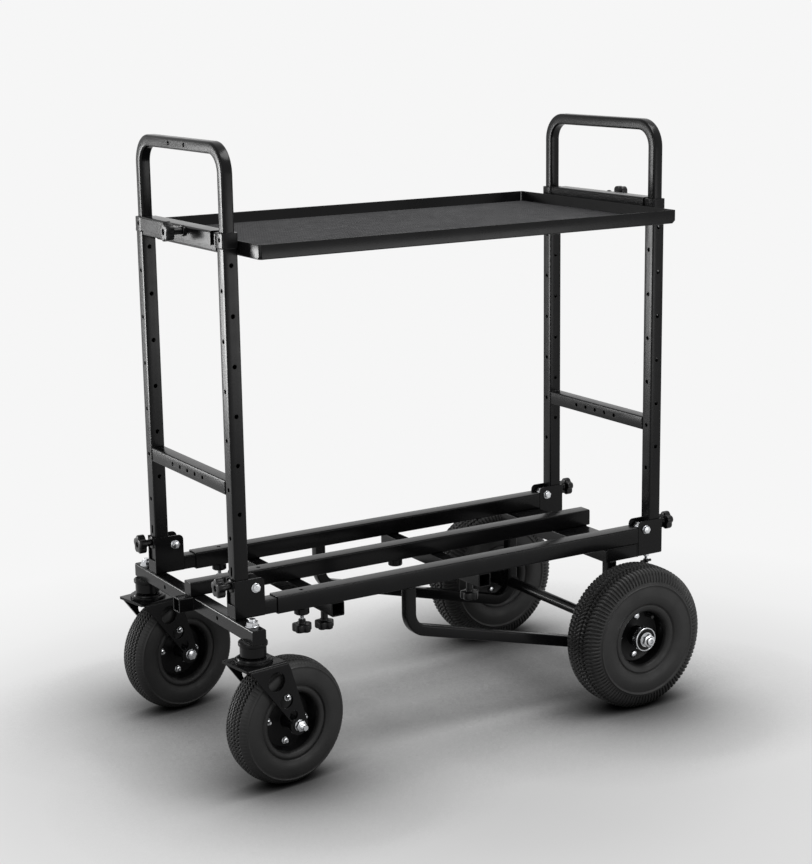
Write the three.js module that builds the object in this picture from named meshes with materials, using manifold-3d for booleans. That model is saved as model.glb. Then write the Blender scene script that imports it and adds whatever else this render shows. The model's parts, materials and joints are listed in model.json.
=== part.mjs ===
import * as THREE from 'three';
import { mergeVertices } from 'three/addons/utils/BufferGeometryUtils.js';
import Module from 'manifold-3d';

const wasm = await Module();
wasm.setup();

// A camera cart. Two ladder handles stand on a telescoping frame of three rails and carry a lipped
// shelf between them. The front half (-X) rolls on two swivel casters, and the rear half (+X) on two
// large wheels whose axle is hung under the rails by bent tubes. X runs along the cart, Y across it
// with -Y as the near side, and Z up from the ground. All lengths are in millimetres.

// Overall sizes
const frameLength = 884;
const handleWidth = 340;
const handleTop = 1060;
const railCentreZ = 296;
const wheelDiameter = 266;
const wheelWidth = 82;
const tyreClearance = 22.5;
const axleInset = 111;
const casterDiameter = 218;
const casterWidth = 62;
const casterOverhang = 40.5;
const casterTrail = 60;
const casterTurnNear = 8;
const casterTurnFar = 10;
const shelfOverhang = 67;
const shelfDepth = 23.9;

// Clearances shared by the whole cart
const gap = 0.3;
const pinPlay = 0.3;
const overrun = 3;

// Square tubes
const postSize = 25;
const postWall = 1.8;
const postCorner = 2.5;
const handleTube = 20;
const handleTubeCorner = 3;
const handleTubeWall = 1.5;
const handleBend = 40;
const railSize = 30;
const railWall = 2;
const railCorner = 2.5;
const innerSize = 25;
const innerWall = 2;
const innerCorner = 2;

// Rails and the tubes that slide in them
const railMouthX = 76;
const innerEndX = 560;
const centreRailReach = 6;
const centreTubeReach = 4;
const lockX = 128;
const stopX = 407;
const lockHole = 3;
const lockCollarRadius = 13;
const lockCollarHeight = 12;

// Pivot brackets and the lower ends of the posts
const bracketSheet = 2.2;
const bracketSidePlay = 0.5;
const bracketOut = 3;
const bracketIn = 52;
const bracketHeight = 66.5;
const bracketCorner = 12;
const bracketWallHeight = 23.5;
const handleDrop = 28;
const postFloorGap = 25.5;
const pivotInset = 10.5;
const pivotBelowTop = 16;
const pivotBoltRadius = 5;
const pivotHubRadius = 10;
const pivotHeadAcross = 17;
const pivotHeadHeight = 6.5;
const lugThickness = 3;
const lugRadius = 9;
const lockAbovePivot = 6;
const lockPinRadius = 3;
const lockPinBite = 4;
const lockSlotAbove = 15;
const lockSlotHeight = 17;
const lockSlotWidth = 6;

// Holes in the handles
const holeRadius = 3;
const topHoleInset = 51.5;
const sideHoleZ = 461;
const sideHoleCount = 6;
const faceHoleZ = 420;
const faceHoleCount = 6;
const crossTubeTop = 515;
const crossHolePitch = 29.5;
const crossHoleCount = 5;
const topHoleSpacing = 60;
const topHoleRadius = 2.5;

// Crossbar, sleeves and shelf hooks
const sleeveBelowTop = 141;
const sleeveHeight = 25;
const sleeveThickness = 1.5;
const sleeveCorner = 4;
const legInsert = 58;
const crossbarHeight = 30;
const crossbarInset = 1;
const hookSheet = 2;
const hookOut = 8;
const hookLip = 28;
const hookLedge = 33;
const hookSideGap = 1.5;
const hookNearGap = 14.5;
const hookInnerGap = 0.4;
const shelfKnobY = { front: 31, rear: 0 };
const shelfKnobBelow = 7;

// Shelf
const shelfEndGap = 1.1;
const shelfBelow = 13.7;
const shelfSheet = 2;
const shelfCorner = 8;
const matThickness = 3;
const matInset = 0.5;

// Star knobs
const knobRadius = 17;
const knobLobes = 5;
const knobLobeShare = 0.1;
const knobThickness = 14;
const knobNeckRadius = 8;
const screwRadius = 3.5;
const lockKnobFace = 31;
const lockCollarOut = 4;
const lockCollarSize = 11.5;
const shelfKnobFace = 40;
const railKnobDrop = 43;
const receiverKnobDrop = 34;
const receiverKnobInset = 50;

// Cross members under the rails
const receiverSize = 25;
const receiverWall = 2;
const receiverFrontX = 191.5;
const receiverRearX = 490;
const receiverInset = 1;
const rearMemberLength = 73.7;
const rearMemberHeight = 25;
const rearMemberSheet = 2.5;
const rearMemberInset = 0.5;

// Bent tubes that carry the axle
const hoopTube = 20;
const hoopCorner = 3;
const hoopWall = 2;
const hoopBend = 35;
const hoopInset = 1.5;
const hoopFrontX = 336.5;
const hoopFrontZ = 205;
const hoopRearZ = 93.4;

// Axle and rear wheels
const axleRadius = 8;
const axleTubeRadius = 10;
const axleEndReach = 16;
const axleNutAcross = 24;
const axleNutHeight = 12;
const wheelHubOuter = 37;
const wheelHubRadius = 16;
const wheelBearingRadius = 22;
const wheelBearingWidth = 11;
const wheelRimRadius = 53.5;
const wheelWebOffset = 10;

// Caster bar, swivels and forks
const barSize = 25;
const barCorner = 3;
const barOut = 4;
const barEndReach = 24.5;
const barHoleY = 105;
const stubReach = 26;
const kingpinRadius = 6;
const kingpinNutAcross = 18;
const kingpinNutHeight = 8.5;
const kingpinEnd = 4;
const cupFlangeRadius = 24.5;
const cupFlangeHeight = 6;
const cupRadius = 22;
const cupHeight = 18;
const raceRadius = 32;
const raceHeight = 8;
const forkTop = 224;
const forkSheet = 4.5;
const forkHalfWidth = 39.7;
const forkFront = 35;
const forkRear = 39;
const forkHipOut = 7;
const forkHipDown = 13;
const forkFootRadius = 19;
const forkHoleShares = [[0.29, 0.74, 0.76], [0.6, 0.415, 0.58], [0.82, 0.17, 0.38]];
const casterAxleRadius = 5;
const casterHeadAcross = 17;
const casterHeadHeight = 7;
const casterAxleEnd = 11;
const casterRimRadius = 55;
const casterHubRadius = 12;
const casterBearingRadius = 15;
const casterBearingWidth = 9;

// Tyre outline, as shares of the half width and of the height from bead to crown
const tyreShares = [[0.72, 0], [1, 0.36], [0.96, 0.74], [0.72, 0.94], [0, 1]];
const rimSheet = 3;
const rimFlange = 4;

// Facets
const holeSides = 6;
const pinSides = 8;
const roundSides = 12;
const neckSides = 8;
const wheelSides = 22;
const casterSides = 18;
const cornerSteps = 1;
const bendSteps = 4;
const knobSteps = 3;
const forkSteps = 4;

// Places that follow from the sizes above
const trackY = (handleWidth - postSize) / 2;
const receiverKnobY = handleWidth / 2 - receiverKnobInset;
const sleeveTop = handleTop - sleeveBelowTop;
const crossbarBottom = sleeveTop - crossbarInset - crossbarHeight;
const shelfRimTop = sleeveTop - shelfBelow;
const shelfKnobZ = sleeveTop - shelfKnobBelow;
const holePitch = (sleeveTop - topHoleInset - sideHoleZ) / (sideHoleCount - 1);
const railBottom = railCentreZ - railSize / 2;
const railTop = railCentreZ + railSize / 2;
const innerBottom = railCentreZ - innerSize / 2;
const barTop = innerBottom - gap;
const barBottom = barTop - barSize;
const kingpinX = barSize / 2 - barOut;
const postMiddle = postSize / 2;
const railEndX = frameLength - bracketIn - gap;
const axleX = frameLength - axleInset;
const wheelSpan = handleWidth + 2 * (hoopInset + tyreClearance) + wheelWidth;
const casterSpan = handleWidth + 2 * casterOverhang;
const barHalf = casterSpan / 2 + barEndReach;
const shelfWidth = handleWidth + 2 * shelfOverhang;
const rearMemberX = railEndX - rearMemberLength;
const shelfBottom = shelfRimTop - shelfDepth;
const wheelRadius = wheelDiameter / 2;
const casterRadius = casterDiameter / 2;
const sides = [['near', -1], ['far', 1]];

const powderCoat = { color: 0x161617, roughness: 0.42, metalness: 0.2 };
const zinc = { color: 0xb9bcc0, roughness: 0.28, metalness: 1 };
const rubber = { color: 0x121212, roughness: 0.82, metalness: 0 };
const rimPaint = { color: 0x141415, roughness: 0.35, metalness: 0.3 };
const knobPlastic = { color: 0x17181a, roughness: 0.5, metalness: 0 };
const matRubber = { color: 0x232425, roughness: 0.9, metalness: 0 };

const cart = new THREE.Group();

function addPiece(parent, name, geometry, finish) {
  const mesh = new THREE.Mesh(geometry, new THREE.MeshStandardMaterial(finish));
  mesh.name = name;
  parent.add(mesh);
}

// Solids for joining and cutting
function toSolid(geometry) {
  const bare = geometry.clone();
  bare.deleteAttribute('normal');
  bare.deleteAttribute('uv');
  const merged = mergeVertices(bare);
  const vertProperties = new Float32Array(merged.attributes.position.array);
  const triVerts = new Uint32Array(merged.index.array);
  return new wasm.Manifold(new wasm.Mesh({ numProp: 3, vertProperties, triVerts }));
}

function toGeometry(solid) {
  const mesh = solid.getMesh();
  const geometry = new THREE.BufferGeometry();
  geometry.setAttribute('position', new THREE.BufferAttribute(new Float32Array(mesh.vertProperties), 3));
  geometry.setIndex(new THREE.BufferAttribute(new Uint32Array(mesh.triVerts), 1));
  return geometry;
}

function build(added, removed = []) {
  let solid = toSolid(added[0]);
  for (const geometry of added.slice(1)) {
    solid = solid.add(toSolid(geometry));
  }
  for (const geometry of removed) {
    solid = solid.subtract(toSolid(geometry));
  }
  return toGeometry(solid);
}

// Basic shapes, each placed by its limits along X, Y and Z
function block(x0, x1, y0, y1, z0, z1) {
  const geometry = new THREE.BoxGeometry(x1 - x0, y1 - y0, z1 - z0);
  return geometry.translate((x0 + x1) / 2, (y0 + y1) / 2, (z0 + z1) / 2);
}

function roundedRectangle(width, height, corner) {
  const shape = new THREE.Shape();
  const x = width / 2 - corner;
  const y = height / 2 - corner;
  shape.absarc(x, y, corner, 0, Math.PI / 2);
  shape.absarc(-x, y, corner, Math.PI / 2, Math.PI);
  shape.absarc(-x, -y, corner, Math.PI, 3 * Math.PI / 2);
  shape.absarc(x, -y, corner, 3 * Math.PI / 2, 2 * Math.PI);
  return shape;
}

function extrude(shape, length) {
  return new THREE.ExtrudeGeometry(shape, { depth: length, bevelEnabled: false, curveSegments: cornerSteps });
}

// A section in the XY plane runs up Z, one in YZ runs along X, and one in ZX runs along Y
function upZ(shape, z0, z1) {
  return extrude(shape, z1 - z0).translate(0, 0, z0);
}

function alongX(shape, x0, x1) {
  const turn = new THREE.Matrix4().makeBasis(
    new THREE.Vector3(0, 1, 0), new THREE.Vector3(0, 0, 1), new THREE.Vector3(1, 0, 0));
  return extrude(shape, x1 - x0).applyMatrix4(turn).translate(x0, 0, 0);
}

function alongY(shape, y0, y1) {
  const turn = new THREE.Matrix4().makeBasis(
    new THREE.Vector3(0, 0, 1), new THREE.Vector3(1, 0, 0), new THREE.Vector3(0, 1, 0));
  return extrude(shape, y1 - y0).applyMatrix4(turn).translate(0, y0, 0);
}

// A plate whose outline is drawn as (x, z) and whose thickness lies along Y
function plate(shape, y0, y1) {
  const turn = new THREE.Matrix4().makeBasis(
    new THREE.Vector3(1, 0, 0), new THREE.Vector3(0, 0, 1), new THREE.Vector3(0, -1, 0));
  return extrude(shape, y1 - y0).applyMatrix4(turn).translate(0, y1, 0);
}

function squareSection(size, corner) {
  return roundedRectangle(size, size, corner);
}

// The bore of a square tube, whose inner corners are sharp
function boreSection(size, wall) {
  const half = size / 2 - wall;
  const shape = new THREE.Shape();
  shape.moveTo(-half, -half);
  shape.lineTo(half, -half);
  shape.lineTo(half, half);
  shape.lineTo(-half, half);
  shape.closePath();
  return shape;
}

function rodX(radius, x0, x1, y, z, facets = holeSides) {
  const rod = new THREE.CylinderGeometry(radius, radius, x1 - x0, facets).rotateZ(-Math.PI / 2);
  return rod.translate((x0 + x1) / 2, y, z);
}

function rodY(radius, y0, y1, x, z, facets = holeSides) {
  const rod = new THREE.CylinderGeometry(radius, radius, y1 - y0, facets);
  return rod.translate(x, (y0 + y1) / 2, z);
}

function rodZ(radius, z0, z1, x, y, facets = holeSides) {
  const rod = new THREE.CylinderGeometry(radius, radius, z1 - z0, facets).rotateX(Math.PI / 2);
  return rod.translate(x, y, (z0 + z1) / 2);
}

function hexRadius(acrossFlats) {
  return acrossFlats / Math.sqrt(3);
}

// Corner points with round bends become even stations along a bent tube
class BentPath extends THREE.Curve {
  constructor(corners, radius) {
    super();
    this.stations = [];
    const last = corners.length - 1;
    corners.forEach((corner, i) => {
      if (i === 0 || i === last) {
        const from = corners[i === 0 ? 0 : last - 1];
        const to = corners[i === 0 ? 1 : last];
        this.stations.push({ point: corner, tangent: to.clone().sub(from).normalize() });
        return;
      }
      const before = corner.clone().sub(corners[i - 1]).normalize();
      const after = corners[i + 1].clone().sub(corner).normalize();
      const turn = before.angleTo(after);
      const start = corner.clone().addScaledVector(before, -radius * Math.tan(turn / 2));
      const inward = after.clone().addScaledVector(before, -before.dot(after)).normalize();
      for (let step = 0; step <= bendSteps; step += 1) {
        const angle = turn * step / bendSteps;
        const point = start.clone().addScaledVector(before, radius * Math.sin(angle));
        point.addScaledVector(inward, radius * (1 - Math.cos(angle)));
        const tangent = before.clone().multiplyScalar(Math.cos(angle));
        tangent.addScaledVector(inward, Math.sin(angle));
        this.stations.push({ point, tangent });
      }
    });
  }

  station(u) {
    return this.stations[Math.round(u * (this.stations.length - 1))];
  }

  getPointAt(u) {
    return this.station(u).point.clone();
  }

  getTangentAt(u) {
    return this.station(u).tangent.clone();
  }
}

function sweep(section, path) {
  const options = { steps: path.stations.length - 1, extrudePath: path, curveSegments: cornerSteps };
  return new THREE.ExtrudeGeometry(section, options);
}

// A bent square tube with open ends: the bore runs a little past both
function bentTube(corners, radius, size, corner, wall) {
  const first = corners[0].clone().sub(corners[1]).setLength(overrun).add(corners[0]);
  const last = corners.at(-1).clone().sub(corners.at(-2)).setLength(overrun).add(corners.at(-1));
  const longer = [first, ...corners.slice(1, -1), last];
  const outside = sweep(squareSection(size, corner), new BentPath(corners, radius));
  const bore = sweep(boreSection(size, wall), new BentPath(longer, radius));
  return build([outside], [bore]);
}

// A star knob along +Z: its stud ends at z = -stud, its neck starts at 0 and its face is at z = face
function starKnob(face, stud, studRadius, neckRadius = knobNeckRadius) {
  const star = new THREE.Shape();
  const points = [];
  const count = knobLobes * knobSteps;
  for (let i = 0; i < count; i += 1) {
    const angle = 2 * Math.PI * i / count;
    const radius = knobRadius * (1 - knobLobeShare + knobLobeShare * Math.cos(knobLobes * angle));
    points.push(new THREE.Vector2(radius * Math.cos(angle), radius * Math.sin(angle)));
  }
  star.setFromPoints(points);
  const head = upZ(star, face - knobThickness, face);
  const neck = rodZ(neckRadius, 0, face - knobThickness + overrun, 0, 0, neckSides);
  const pin = rodZ(studRadius, -stud, overrun, 0, 0, pinSides);
  return build([head, neck, pin]);
}

// A wheel's section is drawn as (radius, y) with +y outboard and turned about Y
function revolveY(points, facets) {
  const profile = points.map(([radius, y]) => new THREE.Vector2(radius, y));
  profile.push(profile[0].clone());
  return new THREE.LatheGeometry(profile, facets);
}

function tyre(radius, width, bead, facets) {
  const outline = tyreShares.map(([across, up]) => [bead + (radius - bead) * up, width / 2 * across]);
  const mirrored = outline.slice(0, -1).map(([r, y]) => [r, -y]);
  return revolveY([...mirrored, ...outline.reverse()], facets);
}

function rim(size, facets) {
  const seat = size.seatHalf + gap;
  const edge = size.seatHalf + rimSheet;
  const inner = size.seatRadius - rimSheet;
  const flange = size.seatRadius + rimFlange;
  const webLow = size.web - rimSheet / 2;
  const webHigh = size.web + rimSheet / 2;
  const bearingStart = size.hubOuter - size.bearingWidth;
  return revolveY([
    [size.bore, -size.hubInner], [size.hubRadius, -size.hubInner], [size.hubRadius, webLow], [inner, webLow],
    [inner, -edge], [flange, -edge], [size.seatRadius, -seat], [size.seatRadius, seat], [flange, edge],
    [inner, edge], [inner, webHigh], [size.hubRadius, webHigh], [size.hubRadius, bearingStart],
    [size.bearingRadius, bearingStart], [size.bearingRadius, size.hubOuter], [size.bore, size.hubOuter],
  ], facets);
}

function tyreSeatHalf(width) {
  return width / 2 * tyreShares[0][0];
}

// Rails: open at the mouth, closed at the rear, with a lock collar under each
function addRails() {
  const rails = [['near', -trackY, railEndX, lockX], ['centre', 0, railEndX + centreRailReach, stopX],
    ['far', trackY, railEndX, lockX]];
  for (const [name, y, end, collarX] of rails) {
    const body = alongX(squareSection(railSize, railCorner), railMouthX, end).translate(0, y, railCentreZ);
    const bore = boreSection(railSize, railWall);
    const inside = alongX(bore, railMouthX - overrun, end - railWall).translate(0, y, railCentreZ);
    const collarBottom = railBottom - lockCollarHeight;
    const collar = rodZ(lockCollarRadius, collarBottom, railBottom + railWall / 2, collarX, y, roundSides);
    const pinBore = rodZ(screwRadius + pinPlay, collarBottom - overrun, railCentreZ, collarX, y, pinSides);
    const topHole = rodZ(lockHole, railCentreZ, railTop + overrun, lockX, y);
    addPiece(cart, `rail_${name}`, build([body, collar], [inside, pinBore, topHole]), powderCoat);
  }
}

function addCrossMembers() {
  const receiverTop = railBottom - gap;
  const receiverZ = receiverTop - receiverSize / 2;
  const half = handleWidth / 2 - receiverInset;
  for (const [name, x] of [['front', receiverFrontX], ['rear', receiverRearX]]) {
    const tube = alongY(squareSection(receiverSize, railCorner), -half, half).translate(x, 0, receiverZ);
    const bore = alongY(boreSection(receiverSize, receiverWall), -half - overrun, half + overrun)
      .translate(x, 0, receiverZ);
    const screwHole = rodZ(screwRadius + pinPlay, receiverTop - receiverSize - overrun, receiverZ,
      x, -receiverKnobY, pinSides);
    addPiece(cart, `receiver_${name}`, build([tube], [bore, screwHole]), powderCoat);
    const under = receiverTop - receiverSize - gap;
    const knob = starKnob(receiverKnobDrop - gap, receiverWall + gap, screwRadius);
    knob.rotateX(Math.PI).translate(x, -receiverKnobY, under);
    addPiece(cart, `receiver_knob_${name}`, knob, knobPlastic);
  }
  const memberHalf = trackY + railSize / 2 - rearMemberInset;
  const sheet = rearMemberSheet;
  const bottom = receiverTop - rearMemberHeight;
  const outside = block(rearMemberX, railEndX, -memberHalf, memberHalf, bottom, receiverTop);
  const inside = block(rearMemberX + sheet, railEndX - sheet, sheet - memberHalf, memberHalf - sheet,
    bottom - overrun, receiverTop - sheet);
  addPiece(cart, 'rear_cross_member', build([outside], [inside]), powderCoat);
}

function addHoops() {
  for (const [name, side] of sides) {
    const y = side * (handleWidth / 2 + hoopInset - hoopTube / 2);
    const top = railBottom - gap;
    const corners = [
      new THREE.Vector3(hoopFrontX, y, top),
      new THREE.Vector3(hoopFrontX, y, hoopFrontZ),
      new THREE.Vector3(axleX, y, hoopRearZ),
      new THREE.Vector3(axleX, y, top - rearMemberHeight - gap),
    ];
    const tube = bentTube(corners, hoopBend, hoopTube, hoopCorner, hoopWall);
    const reach = hoopTube / 2 + overrun;
    const axleHole = rodY(axleRadius + pinPlay, y - reach, y + reach, axleX, wheelRadius, roundSides);
    addPiece(cart, `hoop_${name}`, build([tube], [axleHole]), powderCoat);
  }
}

function addRearWheels() {
  const hoopInner = handleWidth / 2 + hoopInset - hoopTube;
  const hubInner = wheelSpan / 2 - (hoopInner + hoopTube + gap);
  const hubEnd = wheelSpan / 2 + wheelHubOuter;
  const end = hubEnd + axleEndReach;
  const middle = hoopInner - gap;
  const axle = new THREE.LatheGeometry([
    new THREE.Vector2(0, -end), new THREE.Vector2(axleRadius, -end),
    new THREE.Vector2(axleRadius, -middle), new THREE.Vector2(axleTubeRadius, -middle),
    new THREE.Vector2(axleTubeRadius, middle), new THREE.Vector2(axleRadius, middle),
    new THREE.Vector2(axleRadius, end), new THREE.Vector2(0, end),
  ], roundSides);
  addPiece(cart, 'axle', axle.translate(axleX, 0, wheelRadius), powderCoat);
  for (const [name, side] of sides) {
    const wheel = new THREE.Group();
    wheel.position.set(axleX, side * wheelSpan / 2, wheelRadius);
    wheel.rotation.z = side < 0 ? Math.PI : 0;
    cart.add(wheel);
    const tread = tyre(wheelRadius, wheelWidth, wheelRimRadius + gap, wheelSides);
    addPiece(wheel, `rear_tyre_${name}`, tread, rubber);
    addPiece(wheel, `rear_rim_${name}`, rim({
      bore: axleRadius + pinPlay, hubRadius: wheelHubRadius, hubInner, hubOuter: wheelHubOuter,
      bearingRadius: wheelBearingRadius, bearingWidth: wheelBearingWidth,
      seatRadius: wheelRimRadius, seatHalf: tyreSeatHalf(wheelWidth), web: wheelWebOffset,
    }, wheelSides), rimPaint);
    const nutStart = wheelHubOuter + gap;
    const nut = rodY(hexRadius(axleNutAcross), nutStart, nutStart + axleNutHeight, 0, 0, 6);
    const thread = rodY(axleRadius + pinPlay, nutStart - overrun, nutStart + axleNutHeight + overrun, 0, 0, roundSides);
    addPiece(wheel, `axle_nut_${name}`, build([nut], [thread]), zinc);
  }
}

// Front half of the frame: the tubes that slide in the rails, and the bar that carries the casters
function addFrontFrame() {
  for (const [name, side] of sides) {
    const start = bracketIn + gap;
    const tube = alongX(squareSection(innerSize, innerCorner), start, innerEndX)
      .translate(0, side * trackY, railCentreZ);
    const bore = alongX(boreSection(innerSize, innerWall), start - overrun, innerEndX + overrun)
      .translate(0, side * trackY, railCentreZ);
    const lockBore = rodZ(screwRadius + pinPlay, innerBottom - overrun, railCentreZ,
      lockX, side * trackY, pinSides);
    addPiece(cart, `inner_tube_${name}`, build([tube], [bore, lockBore]), powderCoat);
  }
  const barBack = barSize - barOut;
  const bar = alongY(squareSection(barSize, barCorner), -barHalf, barHalf)
    .translate(kingpinX, 0, barTop - barSize / 2);
  const barBore = alongY(boreSection(barSize, innerWall), innerWall - barHalf, barHalf - innerWall)
    .translate(kingpinX, 0, barTop - barSize / 2);
  const centreStart = -barOut - centreTubeReach;
  const centre = alongX(squareSection(innerSize, innerCorner), centreStart, innerEndX)
    .translate(0, 0, railCentreZ);
  const centreBore = alongX(boreSection(innerSize, innerWall),
    centreStart + innerWall, innerEndX + overrun).translate(0, 0, railCentreZ);
  const weld = block(-barOut + barCorner, barBack - barCorner, -innerSize / 4, innerSize / 4,
    barTop - overrun, innerBottom + innerWall / 2);
  const stubZ = barTop - barSize / 2;
  const stub = alongX(squareSection(barSize, barCorner), -barOut - stubReach, 0).translate(0, 0, stubZ);
  const stubBore = alongX(boreSection(barSize, innerWall),
    -barOut - stubReach - overrun, -barOut).translate(0, 0, stubZ);
  const cups = [];
  const holes = [];
  for (const [, side] of sides) {
    const y = side * casterSpan / 2;
    const flangeBottom = barBottom - cupFlangeHeight;
    cups.push(rodZ(cupFlangeRadius, flangeBottom, barBottom + overrun, kingpinX, y, roundSides));
    cups.push(rodZ(cupRadius, flangeBottom - cupHeight, flangeBottom + overrun, kingpinX, y, roundSides));
    holes.push(rodZ(kingpinRadius + pinPlay, forkTop, barTop + overrun, kingpinX, y, pinSides));
    holes.push(rodX(holeRadius, -barOut - overrun, barBack + overrun, side * barHoleY, stubZ));
  }
  const hollowBar = build([bar], [barBore]);
  const solid = build([hollowBar, centre, weld, stub, ...cups], [centreBore, stubBore, ...holes]);
  addPiece(cart, 'caster_bar', solid, powderCoat);
}

// One swivel caster. Inside its group the kingpin stands at the origin and the wheel trails along +X.
function forkLeg(y0, y1) {
  const axleZ = casterRadius;
  const foot = new THREE.Vector2(casterTrail, axleZ);
  const hip = new THREE.Vector2(forkRear + forkHipOut, forkTop - forkHipDown);
  const shape = new THREE.Shape();
  shape.moveTo(forkRear, forkTop);
  shape.lineTo(-forkFront, forkTop);
  const frontAngle = Math.atan2(forkTop - axleZ, forkFront + casterTrail) + Math.PI / 2;
  const rearAngle = Math.atan2(hip.x - foot.x, hip.y - foot.y);
  shape.absarc(foot.x, foot.y, forkFootRadius, Math.PI + (Math.PI / 2 - frontAngle) + Math.PI / 8,
    2 * Math.PI - rearAngle, false);
  shape.lineTo(hip.x, hip.y);
  shape.closePath();
  for (const [along, up, size] of forkHoleShares) {
    const hole = new THREE.Path();
    const x = foot.x * along;
    const z = axleZ + (forkTop - axleZ) * up;
    hole.absarc(x, z, forkFootRadius * size, 0, 2 * Math.PI, true);
    shape.holes.push(hole);
  }
  const turn = new THREE.Matrix4().makeBasis(
    new THREE.Vector3(1, 0, 0), new THREE.Vector3(0, 0, 1), new THREE.Vector3(0, -1, 0));
  const options = { depth: y1 - y0, bevelEnabled: false, curveSegments: forkSteps };
  return new THREE.ExtrudeGeometry(shape, options).applyMatrix4(turn).translate(0, y1, 0);
}

function addCasters() {
  const turns = { near: casterTurnNear, far: casterTurnFar };
  for (const [name, side] of sides) {
    const caster = new THREE.Group();
    caster.position.set(kingpinX, side * casterSpan / 2, 0);
    caster.rotation.z = THREE.MathUtils.degToRad(turns[name]);
    cart.add(caster);
    const top = block(-forkFront, forkRear, -forkHalfWidth, forkHalfWidth, forkTop - forkSheet, forkTop);
    const legs = [forkLeg(-forkHalfWidth, forkSheet - forkHalfWidth), forkLeg(forkHalfWidth - forkSheet, forkHalfWidth)];
    const race = rodZ(raceRadius, forkTop - forkSheet / 2, forkTop + raceHeight, 0, 0, roundSides);
    const pinBore = rodZ(kingpinRadius + pinPlay, forkTop - forkSheet - overrun, forkTop + raceHeight + overrun,
      0, 0, roundSides);
    const reach = forkHalfWidth + overrun;
    const axleBore = rodY(casterAxleRadius + pinPlay, -reach, reach, casterTrail, casterRadius, pinSides);
    addPiece(caster, `fork_${name}`, build([top, ...legs, race], [pinBore, axleBore]), powderCoat);

    const wheel = new THREE.Group();
    wheel.position.set(casterTrail, 0, casterRadius);
    caster.add(wheel);
    const tread = tyre(casterRadius, casterWidth, casterRimRadius + gap, casterSides);
    addPiece(wheel, `caster_tyre_${name}`, tread, rubber);
    const hubHalf = forkHalfWidth - forkSheet - gap;
    addPiece(wheel, `caster_rim_${name}`, rim({
      bore: casterAxleRadius + pinPlay, hubRadius: casterHubRadius, hubInner: hubHalf, hubOuter: hubHalf,
      bearingRadius: casterBearingRadius, bearingWidth: casterBearingWidth,
      seatRadius: casterRimRadius, seatHalf: tyreSeatHalf(casterWidth), web: 0,
    }, casterSides), rimPaint);

    const headStart = forkHalfWidth + gap;
    const headEnd = headStart + casterHeadHeight;
    const across = hexRadius(casterHeadAcross);
    const inHead = headStart + casterHeadHeight / 2;
    const shank = rodY(casterAxleRadius, -inHead, headEnd + casterAxleEnd, 0, 0, pinSides);
    const head = rodY(across, -headEnd, -headStart, 0, 0, 6);
    const nut = rodY(across, headStart, headEnd, 0, 0, 6);
    const bolt = build([shank, head, nut]).rotateZ(side < 0 ? Math.PI : 0);
    addPiece(caster, `caster_axle_${name}`, bolt.translate(casterTrail, 0, casterRadius), zinc);

    const nutStart = barTop + gap;
    const nutEnd = nutStart + kingpinNutHeight;
    const headTop = forkTop - forkSheet - gap;
    const pinAcross = hexRadius(kingpinNutAcross);
    const pin = rodZ(kingpinRadius, headTop - kingpinNutHeight / 2, nutEnd + kingpinEnd, 0, 0, pinSides);
    const pinHead = rodZ(pinAcross, headTop - kingpinNutHeight, headTop, 0, 0, 6);
    const pinNut = rodZ(pinAcross, nutStart, nutEnd, 0, 0, 6);
    const kingpin = build([pin, pinHead, pinNut]);
    addPiece(cart, `kingpin_${name}`, kingpin.translate(kingpinX, side * casterSpan / 2, 0), zinc);
  }
}

// Ladder handles. Inside a handle's group x = 0 is the outer face of its posts and +X points inboard.
function bracketOutline(bottom, top) {
  const shape = new THREE.Shape();
  shape.moveTo(-bracketOut, bottom);
  shape.lineTo(bracketIn, bottom);
  shape.absarc(bracketIn - bracketCorner, top - bracketCorner, bracketCorner, 0, Math.PI / 2);
  shape.lineTo(-bracketOut, top);
  shape.closePath();
  return shape;
}

function bracket(y, bottom, pivotX, pivotZ) {
  const inner = postSize / 2 + bracketSidePlay;
  const outer = inner + bracketSheet;
  const top = bottom + bracketHeight;
  const outline = bracketOutline(bottom, top);
  const cheeks = [plate(outline, y - outer, y - inner), plate(outline, y + inner, y + outer)];
  const floor = block(-bracketOut, bracketIn, y - outer, y + outer, bottom, bottom + bracketSheet);
  const wall = block(-bracketOut, bracketSheet - bracketOut, y - outer, y + outer, bottom, bottom + bracketWallHeight);
  const reach = outer + overrun;
  const hole = rodY(pivotBoltRadius + pinPlay, y - reach, y + reach, pivotX, pivotZ, pinSides);
  return build([...cheeks, floor, wall], [hole]);
}

function pivotBolt(y, pivotX, pivotZ, lockZ) {
  const cheek = postSize / 2 + bracketSidePlay + bracketSheet + gap;
  const end = cheek + pivotHeadHeight;
  const across = hexRadius(pivotHeadAcross);
  const hub = postSize / 2 - lugThickness - gap;
  const inHead = cheek + pivotHeadHeight / 2;
  const shank = rodY(pivotBoltRadius, -inHead, inHead, 0, 0, pinSides);
  const heads = [rodY(across, -end, -cheek, 0, 0, 6), rodY(across, cheek, end, 0, 0, 6)];
  const sleeve = rodY(pivotHubRadius, -hub, hub, 0, 0, roundSides);
  const notchEnd = lockPinBite + pinPlay - pivotHubRadius;
  const notch = rodX(lockPinRadius + pinPlay, -2 * pivotHubRadius, notchEnd, 0, lockZ - pivotZ, pinSides);
  return build([shank, sleeve, ...heads], [notch]).translate(pivotX, y, pivotZ);
}

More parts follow.
